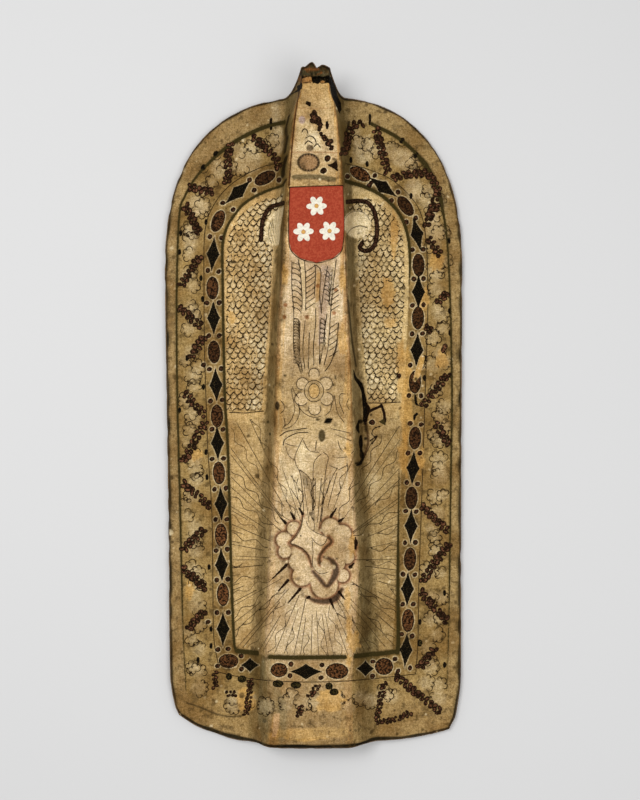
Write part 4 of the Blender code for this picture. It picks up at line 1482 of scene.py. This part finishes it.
def paint_dirt():
    """Streaks, dark lines along the valleys and the face's edge, one partly painted shade, stains, holes
    painted black as their shade, the old figure's remains and odd patches.
    """
    for places, width, *look in [(*streak, *STREAK) for streak in STREAKS] + DIRT_AND_SHADE_LINES:
        PAINT.wash_stroke(curve(places, 4), width, *look, seen_from_above=True)
    for place, across, up in STAINS:
        PAINT.wash(ellipse(place, across, up, steps=12), OLIVE_INK, 0.9, soft=0.0016)
    # Painted shade: black in the holes
    for x, y, across, up in VALLEY_HOLES:
        PAINT.wash(ellipse((x, y), across, up, steps=14), BLACK_INK, 0.92, soft=0.0016)
    for places, width in OLD_FIGURE:
        PAINT.ink_stroke(curve(places, 4), width, BROWN_INK)
    paint_dot(*VALLEY_DOT)
    PAINT.ink_area(VALLEY_POINT, OLIVE_INK)
    PAINT.draw(FACE_TICK, 0.0022)
    for outline, shade, strength, soft in PATCHES:
        PAINT.wash(outline, shade, strength, soft)


NOSE_GAP = [(311, 77.4), (316, 75.6), (324, 76), (331, 77.4), (335, 82), (336, 90), (338, 97), (341, 103),
    (341.6, 110), (339, 112.6), (335.4, 105), (332.6, 99), (331, 92), (330, 86), (327.6, 82.8),
    (325.4, 79.8), (322.4, 79.2), (320.2, 80.8), (319.4, 83), (316, 83), (312.4, 80.6)]
NOSE_WASHES = [((312, 69), 8.0, 1.6, RUST, 0.55, 0.002), ((326, 73), 3.6, 2.6, WOOD_GREY, 0.6, 0.002),
    ((306, 79.6), 8.0, 4.0, WOOD_BROWN, 0.9, 0.0012), ((308.6, 79.6), 3.6, 1.4, WOOD_OCHRE, 0.8, 0.0014),
    ((322.6, 80.8), 2.2, 1.3, WOOD_OCHRE, 0.9, 0.001)]
NOSE_STROKES = [([(303, 77.4), (307, 76.4), (312, 76)], (0.003, 0.0018, 0.0028), BLACK_INK),
    ([(303.4, 83), (311, 82.6)], 0.0012, BROWN_INK),
    ([(301.6, 71.5), (302, 77), (300.8, 83), (299.6, 87.6)], (0.003, 0.004, 0.0036, 0.0056), BLACK_INK)]


def paint_damage():
    """Cracks, holes and the nose's broken end: painted black as their shade where the board is open, bare
    wood past the break, with painted shade along its outline.
    """
    # Painted shade: black ink down the open cracks and holes
    for places, width, _ in GROOVES:
        width = np.array(width) * 0.95
        near, distance, _ = PAINT.stroke_distance(curve(places, 4), width, seen_from_above=True)
        PAINT.put_ink(near, distance, BLACK_INK)
    wood = eased((BREAK_DEPTH - 0.0008) / 0.0012)
    rough = 0.5 + 0.5 * waves(PAINT.x, PAINT.y, 0.01, seed=43, count=20)
    PAINT.blend(EVERY, NOSE_WOOD + (RUST * 0.6 - NOSE_WOOD) * eased(rough - 0.45)[:, None], wood)
    # Painted shade: black in the deep gap under the break, then along the bare wood's outline
    PAINT.blend(EVERY, BLACK_INK, eased((BREAK_DEPTH - 0.005) / 0.0015))
    PAINT.blend(EVERY, BLACK_INK, 0.85 * wood * eased((0.005 - EDGE_AWAY) / 0.004))
    for place, across, up, shade, strength, soft in NOSE_WASHES:
        PAINT.wash(ellipse(place, across, up), shade, strength, soft)
    for places, width, tone in NOSE_STROKES:
        PAINT.ink_stroke(places, width, tone)
    # Painted shade: black in the open gap and on the crack beside it
    PAINT.ink_area(NOSE_GAP, BLACK_INK)
    PAINT.ink_area(ellipse((299.6, 87.4), 2.8, 2.4), BLACK_INK)


paint_ground()
paint_ridge_ground()
paint_edges()
paint_lines()
paint_jewels(LEFT_JEWELS, ("lozenge", "oval"))
paint_jewels(RIGHT_JEWELS, ("oval", "lozenge"))
paint_foot_jewels()
for bar in GARLANDS:
    paint_garland(bar)
for bar in THIN_GARLANDS:
    paint_garland(bar, THIN_STEP, THIN_RADIUS)
paint_half_ovals()
paint_scales()
paint_rays()
paint_ridge_top()
paint_plumes()
paint_rosette()
paint_banner()
paint_cloud()
paint_curls()
paint_arch_lights()
paint_scallops()
paint_losses()
paint_specks()
paint_escutcheon()
paint_dirt()
paint_damage()


def add_layer(mesh, name, values):
    """Store a number or a colour for each point of a mesh."""
    kind, key = ("FLOAT", "value") if values.ndim == 1 else ("FLOAT_COLOR", "color")
    mesh.attributes.new(name, kind, "POINT").data.foreach_set(key, values.ravel())


def add_paint(mesh, front):
    """Store the painted layers, in millimetres, on a mesh that starts with these points of the front."""
    count = len(mesh.vertices)
    distances = {"ink": PAINT.ink, "line": PAINT.line, "apart": np.abs(PAINT.line), "white": PAINT.white}
    for name, values in distances.items():
        full = np.full(count, FAR)
        full[:front.size] = values[front]
        add_layer(mesh, name, full * MILLIMETRES)
    add_layer(mesh, "bare", (np.arange(count) >= front.size).astype(float))
    for name, values in (("tint", PAINT.tint), ("tone", PAINT.tone), ("heart", PAINT.heart)):
        full = np.full((count, 4), BARE_TONE)
        full[:front.size, :3] = values[front]
        full[:, 3] = 1
        add_layer(mesh, name, full)


class Nodes:
    """Short calls that add shader nodes; an input is a number, a colour or another node's output."""

    def __init__(self, name):
        self.material = bpy.data.materials.new(name)
        self.material.use_nodes = True
        self.tree = self.material.node_tree
        self.shader = self.tree.nodes["Principled BSDF"]
        self.place = self.add("TexCoord", {}, "Object")

    def set(self, socket, value):
        """Give an input its value, or link it to another node's output."""
        if isinstance(value, bpy.types.NodeSocket):
            self.tree.links.new(value, socket)
        elif socket.type == "RGBA" and len(value) == 3:
            socket.default_value = (*value, 1.0)
        else:
            socket.default_value = value

    def add(self, kind, inputs, output=0, **settings):
        """A new node with its settings and inputs; returns the output asked for."""
        node = self.tree.nodes.new("ShaderNode" + kind)
        for key, value in settings.items():
            setattr(node, key, value)
        for key, value in inputs.items():
            self.set(node.inputs[key], value)
        return node.outputs[output]

    def attribute(self, name, output="Fac"):
        """A layer stored on the mesh."""
        return self.add("Attribute", {}, output, attribute_name=name)

    def noise(self, scale, detail=3.0, roughness=0.5, stretch=(1.0, 1.0, 1.0)):
        """Noise fixed to the object, which may be stretched along an axis."""
        place = self.add("Mapping", {"Vector": self.place, "Scale": stretch})
        inputs = {"Vector": place, "Scale": scale, "Detail": detail, "Roughness": roughness}
        return self.add("TexNoise", inputs)

    def math(self, operation, *values):
        """One sum, product or other operation on numbers."""
        return self.add("Math", dict(enumerate(values)), operation=operation)

    def ramp(self, value, start, end, low=0.0, high=1.0):
        """Smooth change from low, at start, to high, at end."""
        inputs = {"Value": value, "From Min": start, "From Max": end, "To Min": low, "To Max": high}
        return self.add("MapRange", inputs, interpolation_type="SMOOTHSTEP")

    def mix(self, share, first, second, blend="MIX"):
        """The first colour with a share of the second."""
        inputs = {0: share, 6: first, 7: second}
        return self.add("Mix", inputs, 2, data_type="RGBA", blend_type=blend, clamp_result=True)

    def scaled(self, shade, share):
        """A colour made lighter or darker."""
        return self.add("VectorMath", {0: shade, "Scale": share}, operation="SCALE")

    def tinged(self, shade, value, start, end, low, high):
        """A colour multiplied by the low tinge, at start, to the high one, at end."""
        inputs = dict(zip(range(6, 11), (value, [start] * 3, [end] * 3, low, high)))
        settings = {"data_type": "FLOAT_VECTOR", "interpolation_type": "SMOOTHSTEP"}
        tinge = self.add("MapRange", inputs, "Vector", **settings)
        return self.add("VectorMath", {0: shade, 1: tinge}, operation="MULTIPLY")

    def bump(self, height, distance, strength):
        """Fine relief on the finished material."""
        self.set(self.shader.inputs["Normal"],
                 self.add("Bump", {"Height": height, "Distance": distance, "Strength": strength}))


WORN_WOOD = colour(128, 98, 62)
DARK_WOOD = colour(62, 45, 27)
SPECK = colour(62, 46, 22)
SHADOW = colour(176, 150, 104)
LINE_INK = colour(34, 23, 10)
WHITE_PAINT = colour(228, 222, 204)
PLANK_JOINTS = (-0.178, -0.092, 0.094, 0.181)
JOINT_HALF = 0.0008


def bare_wood(n, fibres, blotch):
    """Old boards joined edge to edge, dark in their joints and dirty in patches."""
    wood = n.mix(n.ramp(fibres, 0.32, 0.68), DARK_WOOD, WORN_WOOD)
    wood = n.mix(n.ramp(blotch, 0.5, 0.7, 0.0, 0.6), wood, DARK_WOOD)
    across = n.add("SeparateXYZ", {"Vector": n.place}, "X")
    gap = n.math("ABSOLUTE", n.math("SUBTRACT", across, PLANK_JOINTS[0]))
    for joint in PLANK_JOINTS[1:]:
        gap = n.math("MINIMUM", gap, n.math("ABSOLUTE", n.math("SUBTRACT", across, joint)))
    return n.mix(n.ramp(gap, JOINT_HALF, 2 * JOINT_HALF, 0.9, 0.0), wood, BLACK_INK)


def painted_ground(n, blotch, grain, flecks):
    """The board's ground colour with its clouds, threads, specks and dirty places."""
    cloudy = n.noise(15, 4)
    threads = n.math("ADD", n.noise(620, 2, 0.5, (1.0, 0.12, 1.0)), n.noise(620, 2, 0.5, (0.12, 1.0, 1.0)))
    ground = n.attribute("tint", "Color")
    ground = n.mix(n.ramp(cloudy, 0.4, 0.66, 0.0, 0.6), ground, SHADOW, "MULTIPLY")
    soiled = n.ramp(n.attribute("tint"), 0.18, 0.36, 1.0, 0.35)
    ground = n.tinged(ground, grain, 0.34, 0.66, (0.8, 0.78, 0.7), (1.16, 1.18, 1.27))
    ground = n.tinged(ground, flecks, 0.34, 0.66, (0.76, 0.73, 0.64), (1.19, 1.22, 1.33))
    ground = n.scaled(ground, n.ramp(threads, 0.8, 1.2, 0.88, 1.12))
    ground = n.mix(n.ramp(blotch, 0.47, 0.36, 0.0, 0.4), ground, n.scaled(ground, 1.3))
    ground = n.mix(n.math("MULTIPLY", n.ramp(blotch, 0.53, 0.66, 0.0, 0.65), soiled), ground, SPECK)
    smudge = n.math("MULTIPLY", n.ramp(n.noise(34, 4, 0.65), 0.54, 0.66), n.ramp(grain, 0.4, 0.55))
    smudge = n.math("MULTIPLY", smudge, soiled)
    ground = n.mix(n.math("MULTIPLY", smudge, 0.6), ground, SPECK)
    return n.mix(n.ramp(flecks, 0.37, 0.28, 0.0, 0.6), ground, SPECK)


def painted_board():
    """Old paint on a parchment-coloured ground, worn to wood along the edges and bare behind."""
    n = Nodes("painted_board")
    blotch = n.noise(80, 5, 0.6)
    grain = n.noise(260, 5, 0.7)
    flecks = n.noise(560, 3, 0.6)
    fibres = n.noise(240, 4, 0.6, (1.0, 0.1, 1.0))
    wobble = n.math("MULTIPLY", n.math("SUBTRACT", n.noise(300, 3), 0.5), 2.4)

    painted = painted_ground(n, blotch, grain, flecks)
    line_depth = n.math("SUBTRACT", MILLIMETRES * LINE_HALF, n.math("ABSOLUTE", n.attribute("line")))
    line_depth = n.math("ADD", line_depth, n.math("MULTIPLY", wobble, 0.12))
    line = n.math("MULTIPLY", n.ramp(line_depth, -0.2, 0.45), n.ramp(n.attribute("apart"), 2.1, 1.5))
    line = n.math("MULTIPLY", line, n.ramp(blotch, 0.66, 0.5, 0.5, 1.0))
    painted = n.mix(line, painted, LINE_INK)

    ink_depth = n.math("SUBTRACT", wobble, n.attribute("ink"))
    heart = n.math("MULTIPLY", n.ramp(ink_depth, 1.0, 2.4), n.ramp(n.noise(280, 4, 0.7), 0.47, 0.55))
    ink_colour = n.mix(heart, n.attribute("tone", "Color"), n.attribute("heart", "Color"))
    ink_colour = n.mix(n.ramp(flecks, 0.58, 0.72, 0.0, 0.25), ink_colour, GROUND)
    ink = n.math("MULTIPLY", n.ramp(ink_depth, -0.5, 0.5), n.ramp(flecks, 0.3, 0.36, 0.55, 1.0))
    painted = n.mix(ink, painted, ink_colour)
    white = n.ramp(n.math("SUBTRACT", n.math("MULTIPLY", wobble, 0.25), n.attribute("white")), -0.3, 0.3)
    painted = n.mix(white, painted, n.scaled(WHITE_PAINT, n.ramp(grain, 0.34, 0.6, 0.75, 1.0)))

    wood = bare_wood(n, fibres, blotch)
    n.set(n.shader.inputs["Base Color"], n.mix(n.attribute("bare"), painted, wood))
    n.set(n.shader.inputs["Roughness"], n.ramp(grain, 0.3, 0.7, 0.5, 0.75))
    n.shader.inputs["Specular IOR Level"].default_value = 0.012
    height = n.math("ADD", n.math("MULTIPLY", grain, 0.5), n.math("MULTIPLY", blotch, 0.5))
    n.bump(height, 0.001, 0.7)
    return n.material


def grip_wood():
    """Wood worn dark and smooth by the hand, lighter along its grain."""
    n = Nodes("grip_wood")
    fibres = n.noise(260, 5, 0.6, (0.1, 1.0, 1.0))
    blotch = n.noise(60, 4, 0.6)
    wood = n.mix(n.ramp(fibres, 0.34, 0.66), DARK_WOOD, WORN_WOOD)
    wood = n.mix(n.ramp(blotch, 0.45, 0.62, 0.15, 0.75), wood, SPECK)
    n.set(n.shader.inputs["Base Color"], wood)
    n.set(n.shader.inputs["Roughness"], n.ramp(blotch, 0.35, 0.65, 0.38, 0.62))
    n.bump(fibres, 0.0006, 0.6)
    return n.material


PAINTED_BOARD = painted_board()


board_piece("left_wing", (0, LEFT_FOOT), (0, LAST_ROW), ("foot", "top", "left"))
board_piece("right_wing", (RIGHT_FOOT, LAST_COLUMN), (0, LAST_ROW), ("foot", "top", "right"))
board_piece("ridge_lower", (LEFT_FOOT, RIGHT_FOOT), (0, SPLIT_ROW), ("foot",))
board_piece("ridge_upper", (LEFT_FOOT, RIGHT_FOOT), (SPLIT_ROW, LAST_ROW), ("top",))


grip = bpy.data.objects["grip_bar"]
grip.data.materials.clear()
grip.data.materials.append(grip_wood())


def add_camera():
    """The photograph's view: straight down on the shield, its top towards the top of the frame."""
    camera = bpy.data.cameras.new("camera")
    camera.sensor_fit = "VERTICAL"
    camera.sensor_height = SENSOR
    camera.lens = SENSOR * PIXELS_PER_METRE_AWAY / PHOTO_HEIGHT
    bpy.context.scene.camera = placed("camera", camera, CAMERA_PLACE)


FLOOR_COLOUR = colour(205, 205, 205)
FLOOR_SIZE = 8.0
FLOOR_DROP = 0.0005
WORLD_STRENGTH = 0.55
LIGHT_TARGET = Vector((0.0, 0.0, 0.05))
# Lights: name, place, size and power
LIGHTS = [("key", (-1.1, 0.6, 2.9), 1.2, 50), ("fill", (1.3, -0.5, 2.9), 1.6, 30)]


def add_floor():
    """A plain pale floor under the shield."""
    bm = bmesh.new()
    bmesh.ops.create_grid(bm, x_segments=1, y_segments=1, size=FLOOR_SIZE / 2)
    mesh = bpy.data.meshes.new("floor")
    bm.to_mesh(mesh)
    bm.free()
    material = bpy.data.materials.new("floor")
    material.use_nodes = True
    shader = material.node_tree.nodes["Principled BSDF"]
    shader.inputs["Base Color"].default_value = (*FLOOR_COLOUR, 1.0)
    shader.inputs["Roughness"].default_value = 0.9
    mesh.materials.append(material)
    floor = placed("floor", mesh, (0.0, 0.0, -FLOOR_DROP))


def add_light(name, place, size, power):
    """A soft square light aimed at the shield."""
    light = bpy.data.lights.new(name, "AREA")
    light.shape = "SQUARE"
    light.size = size
    light.energy = power
    way = LIGHT_TARGET - Vector(place)
    placed(name, light, place).rotation_euler = way.to_track_quat("-Z", "Y").to_euler()


def add_world():
    """The same soft white light from all round."""
    world = bpy.data.worlds.new("studio")
    world.use_nodes = True
    background = world.node_tree.nodes["Background"]
    background.inputs["Color"].default_value = (1.0, 1.0, 1.0, 1.0)
    background.inputs["Strength"].default_value = WORLD_STRENGTH
    bpy.context.scene.world = world


bpy.context.scene.view_settings.view_transform = "Standard"
add_camera()
add_floor()
add_world()
for light in LIGHTS:
    add_light(*light)
